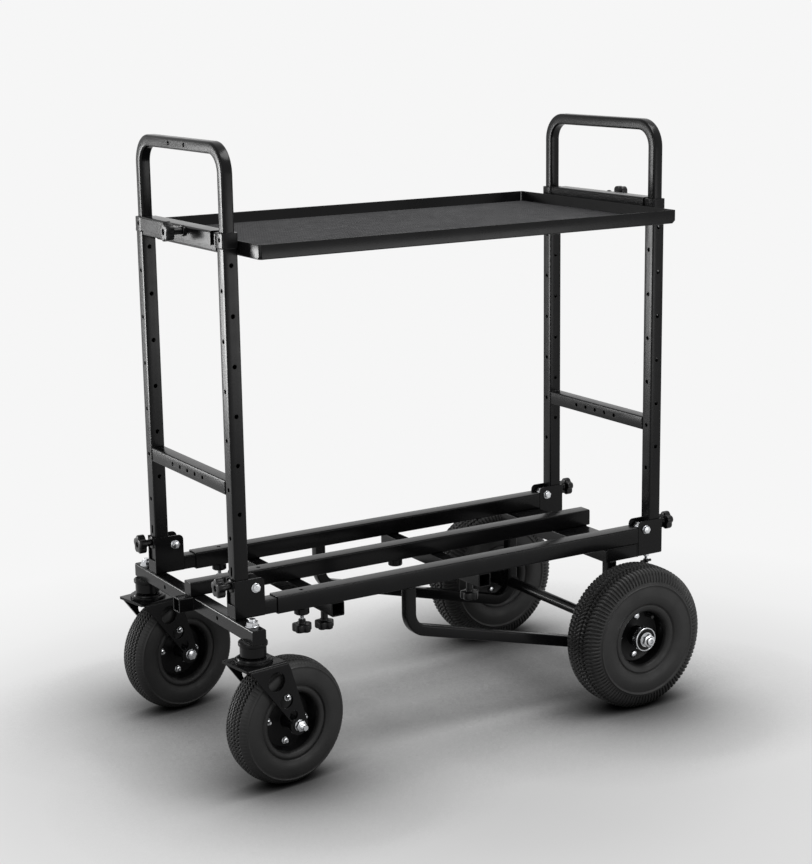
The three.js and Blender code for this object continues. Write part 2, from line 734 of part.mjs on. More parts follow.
function post(y, bottom, pivotX, pivotZ, lockZ) {
  const tube = upZ(squareSection(postSize, postCorner), bottom, sleeveTop).translate(postMiddle, y, 0);
  const sleeveSize = postSize + 2 * sleeveThickness;
  const sleeve = upZ(squareSection(sleeveSize, sleeveCorner), sleeveTop - sleeveHeight, sleeveTop)
    .translate(postMiddle, y, 0);
  const bore = upZ(boreSection(postSize, postWall), bottom - overrun, sleeveTop + overrun)
    .translate(postMiddle, y, 0);
  const added = [tube, sleeve];
  const removed = [bore];
  const lugShape = new THREE.Shape();
  lugShape.moveTo(postSize - postWall / 2, pivotZ - lugRadius);
  lugShape.absarc(pivotX, pivotZ, lugRadius, -Math.PI / 2, Math.PI / 2);
  lugShape.lineTo(postSize - postWall / 2, pivotZ + lugRadius);
  lugShape.closePath();
  const lugOuter = postSize / 2;
  const lugInner = lugOuter - lugThickness;
  added.push(plate(lugShape, y - lugOuter, y - lugInner), plate(lugShape, y + lugInner, y + lugOuter));
  added.push(rodX(lockCollarSize, -lockCollarOut, postWall / 2, y, lockZ, roundSides));
  const reach = postSize / 2 + overrun;
  removed.push(rodY(pivotBoltRadius + pinPlay, y - reach, y + reach, pivotX, pivotZ, pinSides));
  removed.push(rodX(lockPinRadius + pinPlay, -lockCollarOut - overrun, postSize + overrun, y, lockZ, pinSides));
  for (let i = 0; i < sideHoleCount; i += 1) {
    removed.push(rodY(holeRadius, y - reach, y + reach, postMiddle, sideHoleZ + i * holePitch));
  }
  for (let i = 0; i < faceHoleCount; i += 1) {
    removed.push(rodX(holeRadius, -overrun, postSize + overrun, y, faceHoleZ + i * holePitch));
  }
  removed.push(rodX(holeRadius, -overrun, postWall + overrun, y, faceHoleZ + faceHoleCount * holePitch));
  const slotZ = lockZ + lockSlotAbove;
  const slotHalf = lockSlotWidth / 2;
  removed.push(block(-overrun, postWall + overrun, y - slotHalf, y + slotHalf, slotZ, slotZ + lockSlotHeight));
  const whole = build(added);
  return build([whole], removed);
}

function handleLoop() {
  const top = handleTop - handleTube / 2;
  const bottom = sleeveTop - legInsert;
  const corners = [
    new THREE.Vector3(postMiddle, -trackY, bottom),
    new THREE.Vector3(postMiddle, -trackY, top),
    new THREE.Vector3(postMiddle, trackY, top),
    new THREE.Vector3(postMiddle, trackY, bottom),
  ];
  const tube = bentTube(corners, handleBend, handleTube, handleTubeCorner, handleTubeWall);
  const holes = [-1, 1].map((side) => rodX(topHoleRadius, -overrun, postSize + overrun,
    side * topHoleSpacing / 2, top));
  return build([tube], holes);
}

function shelfHook(end) {
  const top = crossbarBottom + crossbarHeight + gap + hookSheet;
  const under = top - hookSheet;
  const inner = postSize + hookInnerGap;
  const ledgeTop = shelfBottom - gap;
  const shape = new THREE.Shape();
  shape.moveTo(-hookOut, under - hookLip);
  shape.lineTo(hookSheet - hookOut, under - hookLip);
  shape.lineTo(hookSheet - hookOut, under);
  shape.lineTo(inner, under);
  shape.lineTo(inner, ledgeTop - hookSheet);
  shape.lineTo(inner + hookLedge, ledgeTop - hookSheet);
  shape.lineTo(inner + hookLedge, ledgeTop);
  shape.lineTo(inner + hookSheet, ledgeTop);
  shape.lineTo(inner + hookSheet, top);
  shape.lineTo(-hookOut, top);
  shape.closePath();
  const far = trackY - postSize / 2 - sleeveThickness - hookSideGap;
  const near = far - hookNearGap + hookSideGap;
  const hole = rodX(screwRadius + pinPlay, -hookOut - overrun, 0, -shelfKnobY[end], shelfKnobZ, pinSides);
  return build([plate(shape, -near, far)], [hole]);
}

function addHandle(end, originX, turn, drop) {
  const handle = new THREE.Group();
  handle.position.x = originX;
  handle.rotation.z = turn;
  cart.add(handle);
  const flip = turn === 0 ? 1 : -1;
  const bottom = barTop + gap - drop;
  const pivotX = postSize + pivotInset;
  const pivotZ = bottom + bracketHeight - pivotBelowTop;
  const lockZ = pivotZ + lockAbovePivot;
  for (const [name, side] of sides) {
    const y = side * flip * trackY;
    addPiece(handle, `bracket_${end}_${name}`, bracket(y, bottom, pivotX, pivotZ), powderCoat);
    addPiece(handle, `pivot_bolt_${end}_${name}`, pivotBolt(y, pivotX, pivotZ, lockZ), zinc);
    addPiece(handle, `post_${end}_${name}`, post(y, bottom + postFloorGap, pivotX, pivotZ, lockZ), powderCoat);
    const pinLength = lockCollarOut + gap + pivotX - pivotHubRadius + lockPinBite;
    const knob = starKnob(lockKnobFace - lockCollarOut - gap, pinLength, lockPinRadius);
    knob.rotateY(-Math.PI / 2).translate(-lockCollarOut - gap, y, lockZ);
    addPiece(handle, `lock_knob_${end}_${name}`, knob, knobPlastic);
  }
  const crossHalf = trackY - postSize / 2 - gap;
  const crossZ = crossTubeTop - postSize / 2;
  const crossTube = alongY(squareSection(postSize, postCorner), -crossHalf, crossHalf)
    .translate(postMiddle, 0, crossZ);
  const crossBore = alongY(boreSection(postSize, postWall), -crossHalf - overrun, crossHalf + overrun)
    .translate(postMiddle, 0, crossZ);
  const crossHoles = [crossBore];
  for (let i = 0; i < crossHoleCount; i += 1) {
    const y = (i - (crossHoleCount - 1) / 2) * crossHolePitch;
    crossHoles.push(rodX(holeRadius, -overrun, postSize + overrun, y, crossZ));
  }
  addPiece(handle, `cross_tube_${end}`, build([crossTube], crossHoles), powderCoat);
  const barEnd = crossHalf - sleeveThickness;
  const barShape = roundedRectangle(crossbarHeight, postSize, postCorner);
  const crossbar = alongY(barShape, -barEnd, barEnd);
  const crossbarHollow = block(postWall - postSize / 2, postSize / 2 - postWall, -barEnd - overrun, barEnd + overrun,
    postWall - crossbarHeight / 2, crossbarHeight / 2 - postWall);
  const crossbarTube = build([crossbar], [crossbarHollow]);
  crossbarTube.translate(postMiddle, 0, crossbarBottom + crossbarHeight / 2);
  addPiece(handle, `crossbar_${end}`, crossbarTube, powderCoat);
  addPiece(handle, `handle_${end}`, handleLoop(), powderCoat);
  addPiece(handle, `shelf_hook_${end}`, shelfHook(end), powderCoat);
  const shelfKnob = starKnob(shelfKnobFace - hookOut - gap, hookOut, screwRadius);
  shelfKnob.rotateY(-Math.PI / 2).translate(-hookOut - gap, -shelfKnobY[end], shelfKnobZ);
  addPiece(handle, `shelf_knob_${end}`, shelfKnob, knobPlastic);
}

// Spring locks under the outer rails, drawn back far enough for the frame to slide
function addRailLocks() {
  for (const [name, side] of sides) {
    const start = railBottom - lockCollarHeight - gap;
    const stud = innerBottom - gap - start;
    const knob = starKnob(railKnobDrop - lockCollarHeight - gap, stud, screwRadius);
    knob.rotateX(Math.PI).translate(lockX, side * trackY, start);
    addPiece(cart, `rail_lock_knob_${name}`, knob, knobPlastic);
  }
}

function addShelf() {
  const start = postSize + hookInnerGap + hookSheet + shelfEndGap;
  const length = frameLength - 2 * start;
  const middle = frameLength / 2;
  const outside = upZ(roundedRectangle(length, shelfWidth, shelfCorner), shelfBottom, shelfRimTop);
  const pocket = roundedRectangle(length - 2 * shelfSheet, shelfWidth - 2 * shelfSheet, shelfCorner - shelfSheet);
  const inside = upZ(pocket, shelfBottom + shelfSheet, shelfRimTop + overrun);
  addPiece(cart, 'shelf_tray', build([outside], [inside]).translate(middle, 0, 0), powderCoat);
  const matGap = shelfSheet + matInset;
  const matBottom = shelfBottom + shelfSheet + gap;
  const matShape = roundedRectangle(length - 2 * matGap, shelfWidth - 2 * matGap, shelfCorner - shelfSheet);
  const mat = upZ(matShape, matBottom, matBottom + matThickness);
  addPiece(cart, 'shelf_mat', mat.translate(middle, 0, 0), matRubber);
}

addRails();
addCrossMembers();
addHoops();
addRearWheels();
addFrontFrame();
addCasters();
addHandle('front', 0, 0, 0);
addHandle('rear', frameLength, Math.PI, handleDrop);
addRailLocks();
addShelf();

// The origin is the middle of the footprint, on the ground
const group = new THREE.Group();
group.add(cart);
group.updateMatrixWorld(true);
const bounds = new THREE.Box3().setFromObject(group, true);
cart.position.set(-(bounds.min.x + bounds.max.x) / 2, -(bounds.min.y + bounds.max.y) / 2, -bounds.min.z);

export default group;
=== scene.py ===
"""The camera cart's looks: camera, light, materials and the fine pieces that stand for the plain solids."""
import json
import math

import bmesh
import bpy
import numpy as np
from mathutils import Matrix, Vector


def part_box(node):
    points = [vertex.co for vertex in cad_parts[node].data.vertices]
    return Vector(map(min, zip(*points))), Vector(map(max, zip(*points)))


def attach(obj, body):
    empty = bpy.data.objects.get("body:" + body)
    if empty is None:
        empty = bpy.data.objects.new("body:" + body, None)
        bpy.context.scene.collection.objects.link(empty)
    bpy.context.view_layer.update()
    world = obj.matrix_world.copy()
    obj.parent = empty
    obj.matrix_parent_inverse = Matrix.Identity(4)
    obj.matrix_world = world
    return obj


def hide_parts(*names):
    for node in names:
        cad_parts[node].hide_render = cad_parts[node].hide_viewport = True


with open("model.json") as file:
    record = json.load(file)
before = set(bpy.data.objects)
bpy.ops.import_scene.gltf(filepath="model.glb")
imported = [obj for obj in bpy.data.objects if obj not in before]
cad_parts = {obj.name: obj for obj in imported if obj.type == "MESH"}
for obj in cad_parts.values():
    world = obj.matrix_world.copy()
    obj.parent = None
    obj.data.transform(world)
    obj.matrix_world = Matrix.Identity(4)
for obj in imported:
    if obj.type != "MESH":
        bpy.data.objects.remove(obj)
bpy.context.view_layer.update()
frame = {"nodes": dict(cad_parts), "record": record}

MM = 0.001
SIDES = {"near": -1, "far": 1}


def moved(x, y, z):
    return Matrix.Translation((x, y, z))


def turned(angle, axis):
    return Matrix.Rotation(angle, 4, axis)


# These turn a piece drawn along Z so that it runs along Y, along X, against X, or down
ALONG_Y = turned(-math.pi / 2, "X")
ALONG_X = turned(math.pi / 2, "Y")
AGAINST_X = turned(-math.pi / 2, "Y")
DOWN = turned(math.pi, "X")


def facing(sign):
    """Leaves a piece as it is drawn, or turns it over when the sign is negative."""
    return Matrix() if sign > 0 else DOWN


def show(thing):
    bpy.context.scene.collection.objects.link(thing)


# Camera and stage, in metres

CAMERA_PLACE = (-1.739015, -2.843252, 1.253968)
CAMERA_YAW = 58.9139
CAMERA_PITCH = -12.3478
CAMERA_ROLL = -0.88897
CAMERA_REACH = 60
FOCAL_PX = 1888.98
PHOTO_WIDTH_PX = 812
PHOTO_HEIGHT_PX = 864
AXIS_PX = (397.849, 425.836)
SENSOR = 36.0


def make_camera():
    yaw = math.radians(CAMERA_YAW)
    pitch = math.radians(CAMERA_PITCH)
    roll = math.radians(CAMERA_ROLL)
    forward = Vector((math.cos(pitch) * math.cos(yaw), math.cos(pitch) * math.sin(yaw), math.sin(pitch)))
    level = Vector((math.sin(yaw), -math.cos(yaw), 0))
    up = level.cross(forward)
    right = level * math.cos(roll) + up * math.sin(roll)
    top = up * math.cos(roll) - level * math.sin(roll)
    data = bpy.data.cameras.new("camera")
    data.sensor_fit = "VERTICAL"
    data.sensor_height = SENSOR
    data.lens = FOCAL_PX * SENSOR / PHOTO_HEIGHT_PX
    data.shift_x = (PHOTO_WIDTH_PX / 2 - AXIS_PX[0]) / PHOTO_HEIGHT_PX
    data.shift_y = (AXIS_PX[1] - PHOTO_HEIGHT_PX / 2) / PHOTO_HEIGHT_PX
    data.clip_end = CAMERA_REACH
    camera = bpy.data.objects.new("camera", data)
    camera.matrix_world = moved(*CAMERA_PLACE) @ Matrix((right, top, -forward)).transposed().to_4x4()
    show(camera)
    bpy.context.scene.camera = camera


# Each light's place, the point that it aims at, its width, its height and its power in watts
LIGHTS = {
    "overhead_light": ((0.95, -0.7, 3.0), (0, 0, 0.5), 1.7, 1.0, 52),
    "back_left_light": ((-2.1, 2.45, 0.45), (-0.4, 0, 0.6), 0.6, 0.9, 36),
    "front_left_light": ((-2.5, -1.0, 1.5), (-0.3, 0, 0.6), 0.9, 1.2, 10),
    "low_right_light": ((1.35, -2.8, 0.4), (0, 0, 0.6), 1.3, 0.8, 13),
}


def make_lights():
    for name, (place, target, width, height, power) in LIGHTS.items():
        data = bpy.data.lights.new(name, "AREA")
        data.shape = "RECTANGLE"
        data.size = width
        data.size_y = height
        data.energy = power
        light = bpy.data.objects.new(name, data)
        aim = (Vector(target) - Vector(place)).to_track_quat("-Z", "Y")
        light.matrix_world = moved(*place) @ aim.to_matrix().to_4x4()
        light.visible_camera = False
        show(light)


# Shader nodes

def wire(tree, node, sockets):
    """Gives each named socket of a node its value, or a link from another node's socket."""
    for name, value in sockets.items():
        if isinstance(value, bpy.types.NodeSocket):
            tree.links.new(value, node.inputs[name])
        else:
            node.inputs[name].default_value = value
    return node


def add_node(tree, kind, sockets):
    return wire(tree, tree.nodes.new(kind), sockets)


def calculate(tree, operation, first, second):
    node = add_node(tree, "ShaderNodeMath", {0: first, 1: second})
    node.operation = operation
    return node.outputs[0]


def distance(tree, place, centre):
    node = add_node(tree, "ShaderNodeVectorMath", {0: place, 1: centre})
    node.operation = "DISTANCE"
    return node.outputs["Value"]


def scaled(tree, colour, factor):
    node = tree.nodes.new("ShaderNodeVectorMath")
    node.operation = "SCALE"
    return wire(tree, node, {0: colour, "Scale": factor}).outputs["Vector"]


def ramp(tree, factor, stops):
    """A colour ramp of greys, from (place, grey) pairs."""
    shades = add_node(tree, "ShaderNodeValToRGB", {"Fac": factor})
    elements = shades.color_ramp.elements
    while len(elements) < len(stops):
        elements.new(1)
    for element, (place, grey) in zip(elements, stops):
        element.position = place
        element.color = (grey, grey, grey, 1)
    return shades.outputs["Color"]


def link_ray_background(tree, lit, plain):
    """The camera, mirrors and glass see the plain colour, and the lit colour lights the object."""
    rays = tree.nodes.new("ShaderNodeLightPath").outputs
    seen = rays["Is Camera Ray"]
    for name in ("Is Glossy Ray", "Is Transmission Ray"):
        seen = calculate(tree, "MAXIMUM", seen, rays[name])
    return add_node(tree, "ShaderNodeMixShader", {"Fac": seen, 1: lit, 2: plain}).outputs["Shader"]


BACKGROUND = 0.922
WORLD_LIGHT = 0.35


def make_world():
    world = bpy.data.worlds.new("studio")
    bpy.context.scene.world = world
    world.use_nodes = True
    tree = world.node_tree
    tree.nodes.clear()
    lit = add_node(tree, "ShaderNodeBackground", {"Color": (1, 1, 1, 1), "Strength": WORLD_LIGHT})
    plain = add_node(tree, "ShaderNodeBackground", {"Color": (BACKGROUND, BACKGROUND, BACKGROUND, 1)})
    shader = link_ray_background(tree, lit.outputs[0], plain.outputs[0])
    add_node(tree, "ShaderNodeOutputWorld", {"Surface": shader})


FLOOR_HALF = 30
# The middle and reach of the floor's painted shade round the cart
FLOOR_MIDDLE = (-0.08, -0.3, 0)
FLOOR_REACH = 2.0
# Painted contact shade: the floor's occlusion within this reach, raised to this power, darkens its colours
SHADE_REACH = 0.32
SHADE_DEPTH = 3.4
SHADE_SAMPLES = 16

# From the floor's middle outward: the grey that it glows, the grey that it is lit, and the glow's share. Both
# greys are painted shade, darker near the cart.
PAINTED_SHADE_GLOW_GREYS = ((0.0, 0.47), (0.1, 0.51), (0.175, 0.57), (0.25, 0.66), (0.375, 0.73), (0.55, 0.87),
              (0.72, BACKGROUND))
PAINTED_SHADE_LIT_GREYS = ((0.0, 0.74), (0.175, 0.8), (0.3, 0.86), (0.6, 0.9))
GLOW_SHARES = ((0.1, 0.55), (0.3, 0.66), (0.45, 0.88), (0.6, 1))


def make_floor():
    """A pale floor with painted shade: greyer near the cart and darkest where something stands on it, fading
    further off.
    """
    half = FLOOR_HALF
    corners = [(-half, -half, 0), (half, -half, 0), (half, half, 0), (-half, half, 0)]
    mesh = bpy.data.meshes.new("floor")
    mesh.from_pydata(corners, [], [(0, 1, 2, 3)])
    floor = bpy.data.objects.new("floor", mesh)
    show(floor)
    material = bpy.data.materials.new("floor")
    material.use_nodes = True
    tree = material.node_tree
    tree.nodes.clear()
    place = tree.nodes.new("ShaderNodeTexCoord").outputs["Object"]
    away = calculate(tree, "MULTIPLY", distance(tree, place, FLOOR_MIDDLE), 1 / FLOOR_REACH)
    # Painted contact shade: occlusion by the cart darkens both floor greys, so it follows the wheels
    painted_shade_occlusion = add_node(tree, "ShaderNodeAmbientOcclusion", {"Distance": SHADE_REACH})
    painted_shade_occlusion.samples = SHADE_SAMPLES
    clear = calculate(tree, "POWER", painted_shade_occlusion.outputs["AO"], SHADE_DEPTH)
    painted_shade_glow_grey = scaled(tree, ramp(tree, away, PAINTED_SHADE_GLOW_GREYS), clear)
    painted_shade_lit_grey = scaled(tree, ramp(tree, away, PAINTED_SHADE_LIT_GREYS), clear)
    glow = add_node(tree, "ShaderNodeEmission", {"Color": painted_shade_glow_grey}).outputs[0]
    diffuse = add_node(tree, "ShaderNodeBsdfDiffuse", {"Color": painted_shade_lit_grey}).outputs[0]
    share = ramp(tree, away, GLOW_SHARES)
    fade = add_node(tree, "ShaderNodeMixShader", {"Fac": share, 1: diffuse, 2: glow}).outputs[0]
    add_node(tree, "ShaderNodeOutputMaterial", {"Surface": link_ray_background(tree, diffuse, fade)})
    mesh.materials.append(material)


# Materials. Patches vary a finish from dark to pale and smears vary its roughness over the gloss range.
# Patches, smears and grain are noises of a scale and a detail, and relief is the grain's height and strength.

FINISHES = {
    "powder_coat": {
        "roughness": 0.3, "metallic": 0, "specular": 0.14,
        "patches": (9, 4), "dark": (0.0034, 0.0034, 0.0037), "pale": (0.0055, 0.0055, 0.0058),
        "smears": (35, 1), "gloss": (0.2, 0.24), "grain": (1500, 1), "relief": (0.00002, 0.4),
    },
    "rim_paint": {
        "roughness": 0.36, "metallic": 0, "specular": 0.13,
        "patches": (14, 3), "dark": (0.0028, 0.0028, 0.003), "pale": (0.0046, 0.0046, 0.0049),
        "smears": (60, 4), "gloss": (0.3, 0.44), "grain": (700, 2), "relief": (0.00004, 0.5),
    },
    "zinc": {
        "roughness": 0.25, "metallic": 1, "specular": 0.5,
        "patches": (90, 4), "dark": (0.48, 0.49, 0.51), "pale": (0.68, 0.69, 0.7),
        "smears": (180, 5), "gloss": (0.18, 0.34), "grain": (900, 2), "relief": (0.00003, 0.4),
    },
    "knob_plastic": {
        "roughness": 0.3, "metallic": 0, "specular": 0.22,
        "patches": (40, 3), "dark": (0.003, 0.003, 0.0033), "pale": (0.006, 0.006, 0.0064),
        "smears": (120, 4), "gloss": (0.25, 0.36), "grain": (2200, 1), "relief": (0.00004, 0.7),
    },
    "tyre_rubber": {
        "roughness": 0.55, "metallic": 0, "specular": 0.34,
        "patches": (18, 5), "dark": (0.0062, 0.0062, 0.0062), "pale": (0.0112, 0.011, 0.0109),
        "smears": (45, 5), "gloss": (0.46, 0.6), "grain": (1300, 3), "relief": (0.00006, 0.7),
    },
    "mat_rubber": {
        "roughness": 0.75, "metallic": 0, "specular": 0.3,
        "patches": (12, 4), "dark": (0.027, 0.027, 0.0285), "pale": (0.042, 0.042, 0.044),
        "smears": (60, 4), "gloss": (0.66, 0.82), "grain": (1500, 2), "relief": (0.00006, 0.6),
    },
}
NOISE_SPREAD = (0.3, 0.7)
EDGE_RADIUS = 0.0009
EDGE_SAMPLES = 4
WAVE_SCALE = 80
WAVE_TURN = math.pi / 5
WAVE_RELIEF = (0.0003, 0.7)


def noise(tree, scale, detail):
    place = tree.nodes.new("ShaderNodeTexCoord").outputs["Object"]
    sockets = {"Vector": place, "Scale": scale, "Detail": detail}
    return add_node(tree, "ShaderNodeTexNoise", sockets).outputs["Fac"]


def between(tree, factor, low, high):
    """A number that goes from low to high as a noise goes over its usual spread."""
    spread = {"From Min": NOISE_SPREAD[0], "From Max": NOISE_SPREAD[1], "To Min": low, "To Max": high}
    return add_node(tree, "ShaderNodeMapRange", {"Value": factor, **spread}).outputs["Result"]


def colours(tree, factor, low, high):
    mix = tree.nodes.new("ShaderNodeMix")
    mix.data_type = "RGBA"
    wire(tree, mix, {"A": (*low, 1), "B": (*high, 1), "Factor": between(tree, factor, 0, 1)})
    return mix.outputs["Result"]


def bump(tree, height, relief, under):
    """Adds a relief, given as metres and strength, to the normal under it, if there is one."""
    node = add_node(tree, "ShaderNodeBump", {"Height": height, "Distance": relief[0], "Strength": relief[1]})
    if under is not None:
        wire(tree, node, {"Normal": under})
    return node.outputs["Normal"]


def rounded_edges(tree):
    node = add_node(tree, "ShaderNodeBevel", {"Radius": EDGE_RADIUS})
    node.samples = EDGE_SAMPLES
    return node.outputs["Normal"]


def crossing_waves(tree, normal):
    for angle in (WAVE_TURN, -WAVE_TURN):
        place = tree.nodes.new("ShaderNodeTexCoord").outputs["Object"]
        mapping = add_node(tree, "ShaderNodeMapping", {"Vector": place, "Rotation": (0, 0, angle)})
        across = mapping.outputs["Vector"]
        wave = add_node(tree, "ShaderNodeTexWave", {"Vector": across, "Scale": WAVE_SCALE})
        normal = bump(tree, wave.outputs["Fac"], WAVE_RELIEF, normal)
    return normal


def make_finish(name, finish):
    material = bpy.data.materials.new(name)
    material.use_nodes = True
    tree = material.node_tree
    under = rounded_edges(tree) if name == "powder_coat" else None
    normal = bump(tree, noise(tree, *finish["grain"]), finish["relief"], under)
    if name == "mat_rubber":
        normal = crossing_waves(tree, normal)
    shader = wire(tree, tree.nodes["Principled BSDF"], {
        "Roughness": finish["roughness"],
        "Metallic": finish["metallic"],
        "Specular IOR Level": finish["specular"],
    })
    wire(tree, shader, {
        "Base Color": colours(tree, noise(tree, *finish["patches"]), finish["dark"], finish["pale"]),
        "Roughness": between(tree, noise(tree, *finish["smears"]), *finish["gloss"]),
        "Normal": normal})
    return material


MATERIALS = {name: make_finish(name, finish) for name, finish in FINISHES.items()}


def paint_nodes():
    for part in frame["record"]["subparts"]:
        slots = frame["nodes"][part["node"]].data.materials
        slots.clear()
        slots.append(MATERIALS[part["material_slot"]])


# Building blocks for the fine pieces. They are drawn in millimetres.

def spot(x, y, z, turn=Matrix()):
    """Millimetres round a point of the cart become metres. X is 0 at the front posts' outer face."""
    return moved(FRONT_X + x * MM, y * MM, z * MM) @ turn @ Matrix.Scale(MM, 4)


def add_piece(name, bm, slot, body, where, replaces=(), sharp=32):
    mesh = bpy.data.meshes.new(name)
    bmesh.ops.transform(bm, matrix=where, verts=bm.verts)
    bmesh.ops.recalc_face_normals(bm, faces=bm.faces)
    bm.to_mesh(mesh)
    bm.free()
    mesh.shade_smooth()
    mesh.set_sharp_from_angle(angle=math.radians(sharp))
    mesh.materials.append(MATERIALS[slot])
    piece = bpy.data.objects.new(name, mesh)
    show(piece)
    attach(piece, body)
    if replaces:
        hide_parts(*replaces)
    return piece


def add_frame_piece(name, bm, node, body="main_frame"):
    """A painted piece, drawn in the cart's own millimetres, that stands for one node of the frame."""
    add_piece(name, bm, "powder_coat", body, spot(0, 0, 0), [node])


def add_rings(bm, rings, turn=Matrix(), loop=False):
    """Skins rings that have the same number of points. Ends are capped unless the rings form a loop."""
    made = [[bm.verts.new(turn @ Vector(point)) for point in ring] for ring in rings]
    count = len(made[0])
    last = len(made) if loop else len(made) - 1
    for i in range(last):
        here, there = made[i], made[(i + 1) % len(made)]
        for j in range(count):
            k = (j + 1) % count
            bm.faces.new((here[j], here[k], there[k], there[j]))
    if not loop:
        bm.faces.new(reversed(made[0]))
        bm.faces.new(made[-1])


def add_slab(bm, outline, axis, low, high, turn=Matrix()):
    """An outline drawn out along one axis. Its points lie along the other two axes, in order."""
    at = "XYZ".index(axis)
    add_rings(bm, [[(*point[:at], reach, *point[at:]) for point in outline] for reach in (low, high)], turn)


def circle(radius, z, count):
    steps = [2 * math.pi * i / count for i in range(count)]
    return [(radius * math.cos(a), radius * math.sin(a), z) for a in steps]


def arc(x, y, radius, first, last, steps):
    """Points round (x, y) from the first angle to the last."""
    angles = [first + (last - first) * step / steps for step in range(steps + 1)]
    return [(x + radius * math.cos(a), y + radius * math.sin(a)) for a in angles]


def add_lathe(bm, profile, turn=Matrix(), count=64, loop=False):
    """Turns (radius, z) points about local Z. The ends are capped unless the profile is a loop."""
    add_rings(bm, [circle(radius, z, count) for radius, z in profile], turn, loop)


def add_rod(bm, start, end, radius, count=28):
    """A plain cylinder between two points."""
    start, end = Vector(start), Vector(end)
    turn = (end - start).to_track_quat("Z", "Y").to_matrix().to_4x4()
    add_lathe(bm, [(radius, 0), (radius, (end - start).length)], moved(*start) @ turn, count)


def hexagon(across, z, shrink=0.0):
    radius = across / math.sqrt(3) - shrink
    return [(radius * math.cos(math.pi * i / 3), radius * math.sin(math.pi * i / 3), z) for i in range(6)]


def add_hex(bm, across, low, high, turn=Matrix()):
    """A bolt head or nut along local Z, with its outer rim chamfered."""
    rim = 0.08 * across
    add_rings(bm, [hexagon(across, low), hexagon(across, high - rim / 2), hexagon(across, high, rim)], turn)


def thread_profile(radius, low, high, pitch):
    """The outline of a threaded rod from low to high, with a chamfered end."""
    depth = 0.35 * pitch
    points = [(radius, low)]
    z = low
    while z + pitch < high - pitch:
        points += [(radius - depth, z + pitch / 2), (radius, z + pitch)]
        z += pitch
    points += [(radius, high - pitch), (radius - depth, high)]
    return points


def rounded_box(width, depth, corner, steps=5):
    points = []
    for quarter, (u, v) in enumerate(((1, 1), (-1, 1), (-1, -1), (1, -1))):
        for step in range(steps + 1):
            angle = math.pi / 2 * (quarter + step / steps)
            points.append((u * (width / 2 - corner) + corner * math.cos(angle),
                           v * (depth / 2 - corner) + corner * math.sin(angle)))
    return points


def box_ring(width, depth, corner, z):
    return [(u, v, z) for u, v in rounded_box(width, depth, corner)]


def square_ring(size, corner, z):
    return box_ring(size, size, corner, z)


def add_square_tube(bm, size, corner, wall, low, high, turn=Matrix(), closed_low=False, closed_high=False):
    """A square tube along local Z. A closed end has a plate as thick as the wall."""
    edge = 0.35
    inner = size - 2 * wall
    bend = max(corner - wall, 0.4)
    outside = [square_ring(size - 2 * edge, corner, low), square_ring(size, corner, low + edge),
               square_ring(size, corner, high - edge), square_ring(size - 2 * edge, corner, high)]
    inside = [square_ring(inner, bend, high - wall if closed_high else high),
              square_ring(inner, bend, low + wall if closed_low else low)]
    if closed_low and closed_high:
        add_rings(bm, outside, turn)
    elif closed_high:
        add_rings(bm, [*inside, *outside], turn)
    else:
        add_rings(bm, [*outside, *inside], turn, loop=not closed_low)


def bent_stations(corners, radius, steps=14):
    """Points and directions along straight runs joined by round bends."""
    stations = [(corners[0], (corners[1] - corners[0]).normalized())]
    for before, corner, after in zip(corners, corners[1:], corners[2:]):
        into = (corner - before).normalized()
        out = (after - corner).normalized()
        turn = into.angle(out)
        start = corner - into * radius * math.tan(turn / 2)
        inward = (out - into * into.dot(out)).normalized()
        for step in range(steps + 1):
            angle = turn * step / steps
            point = start + into * radius * math.sin(angle) + inward * radius * (1 - math.cos(angle))
            stations.append((point, into * math.cos(angle) + inward * math.sin(angle)))
    stations.append((corners[-1], (corners[-1] - corners[-2]).normalized()))
    return stations


def add_bent_tube(bm, corners, radius, size, corner, across):
    """A square tube with closed ends along round bends. Across is square to the plane of the bends."""
    rings = []
    for point, along in bent_stations([Vector(place) for place in corners], radius):
        side = along.cross(Vector(across))
        rings.append([point + side * u + Vector(across) * v for u, v in rounded_box(size, size, corner)])
    add_rings(bm, rings)


def add_weld(bm, start, end, radius=1.5):
    """A rippled bead, half sunk in the joint from start to end."""
    start, end = Vector(start), Vector(end)
    along = end - start
    turn = along.to_track_quat("Z", "Y").to_matrix().to_4x4()
    count = max(6, round(along.length / 0.9))
    rings = []
    for i in range(count + 1):
        taper = min(1, 0.35 + 0.5 * min(i, count - i))
        swell = radius * taper * (1 + 0.13 * math.cos(2.1 * i) + 0.05 * math.sin(0.7 * i))
        rings.append(circle(swell, along.length * i / count, 10))
    add_rings(bm, rings, moved(*start) @ turn)


def add_square_weld(bm, middle, size, axis, corner=2.5, radius=1.4):
    """Beads along the four sides of a square tube's end. Axis is the tube's own direction, X, Y or Z."""
    half = size / 2
    run = half - corner
    for sign in (-1, 1):
        for along, across in ((0, 1), (1, 0)):
            ends = []
            for end in (-run, run):
                local = [0, 0]
                local[along] = end
                local[across] = sign * half
                local.insert("XYZ".index(axis), 0)
                ends.append(Vector(middle) + Vector(local))
            add_weld(bm, *ends, radius)


def fold_outline(points, radius, sheet):
    """The closed outline, as (u, v) points, of a sheet bent along a line of points."""
    left, right = [], []
    for point, along in bent_stations([Vector((u, v, 0)) for u, v in points], radius, 6):
        side = Vector((-along.y, along.x, 0)) * sheet / 2
        left.append(point + side)
        right.append(point - side)
    return [(point.x, point.y) for point in left + right[::-1]]


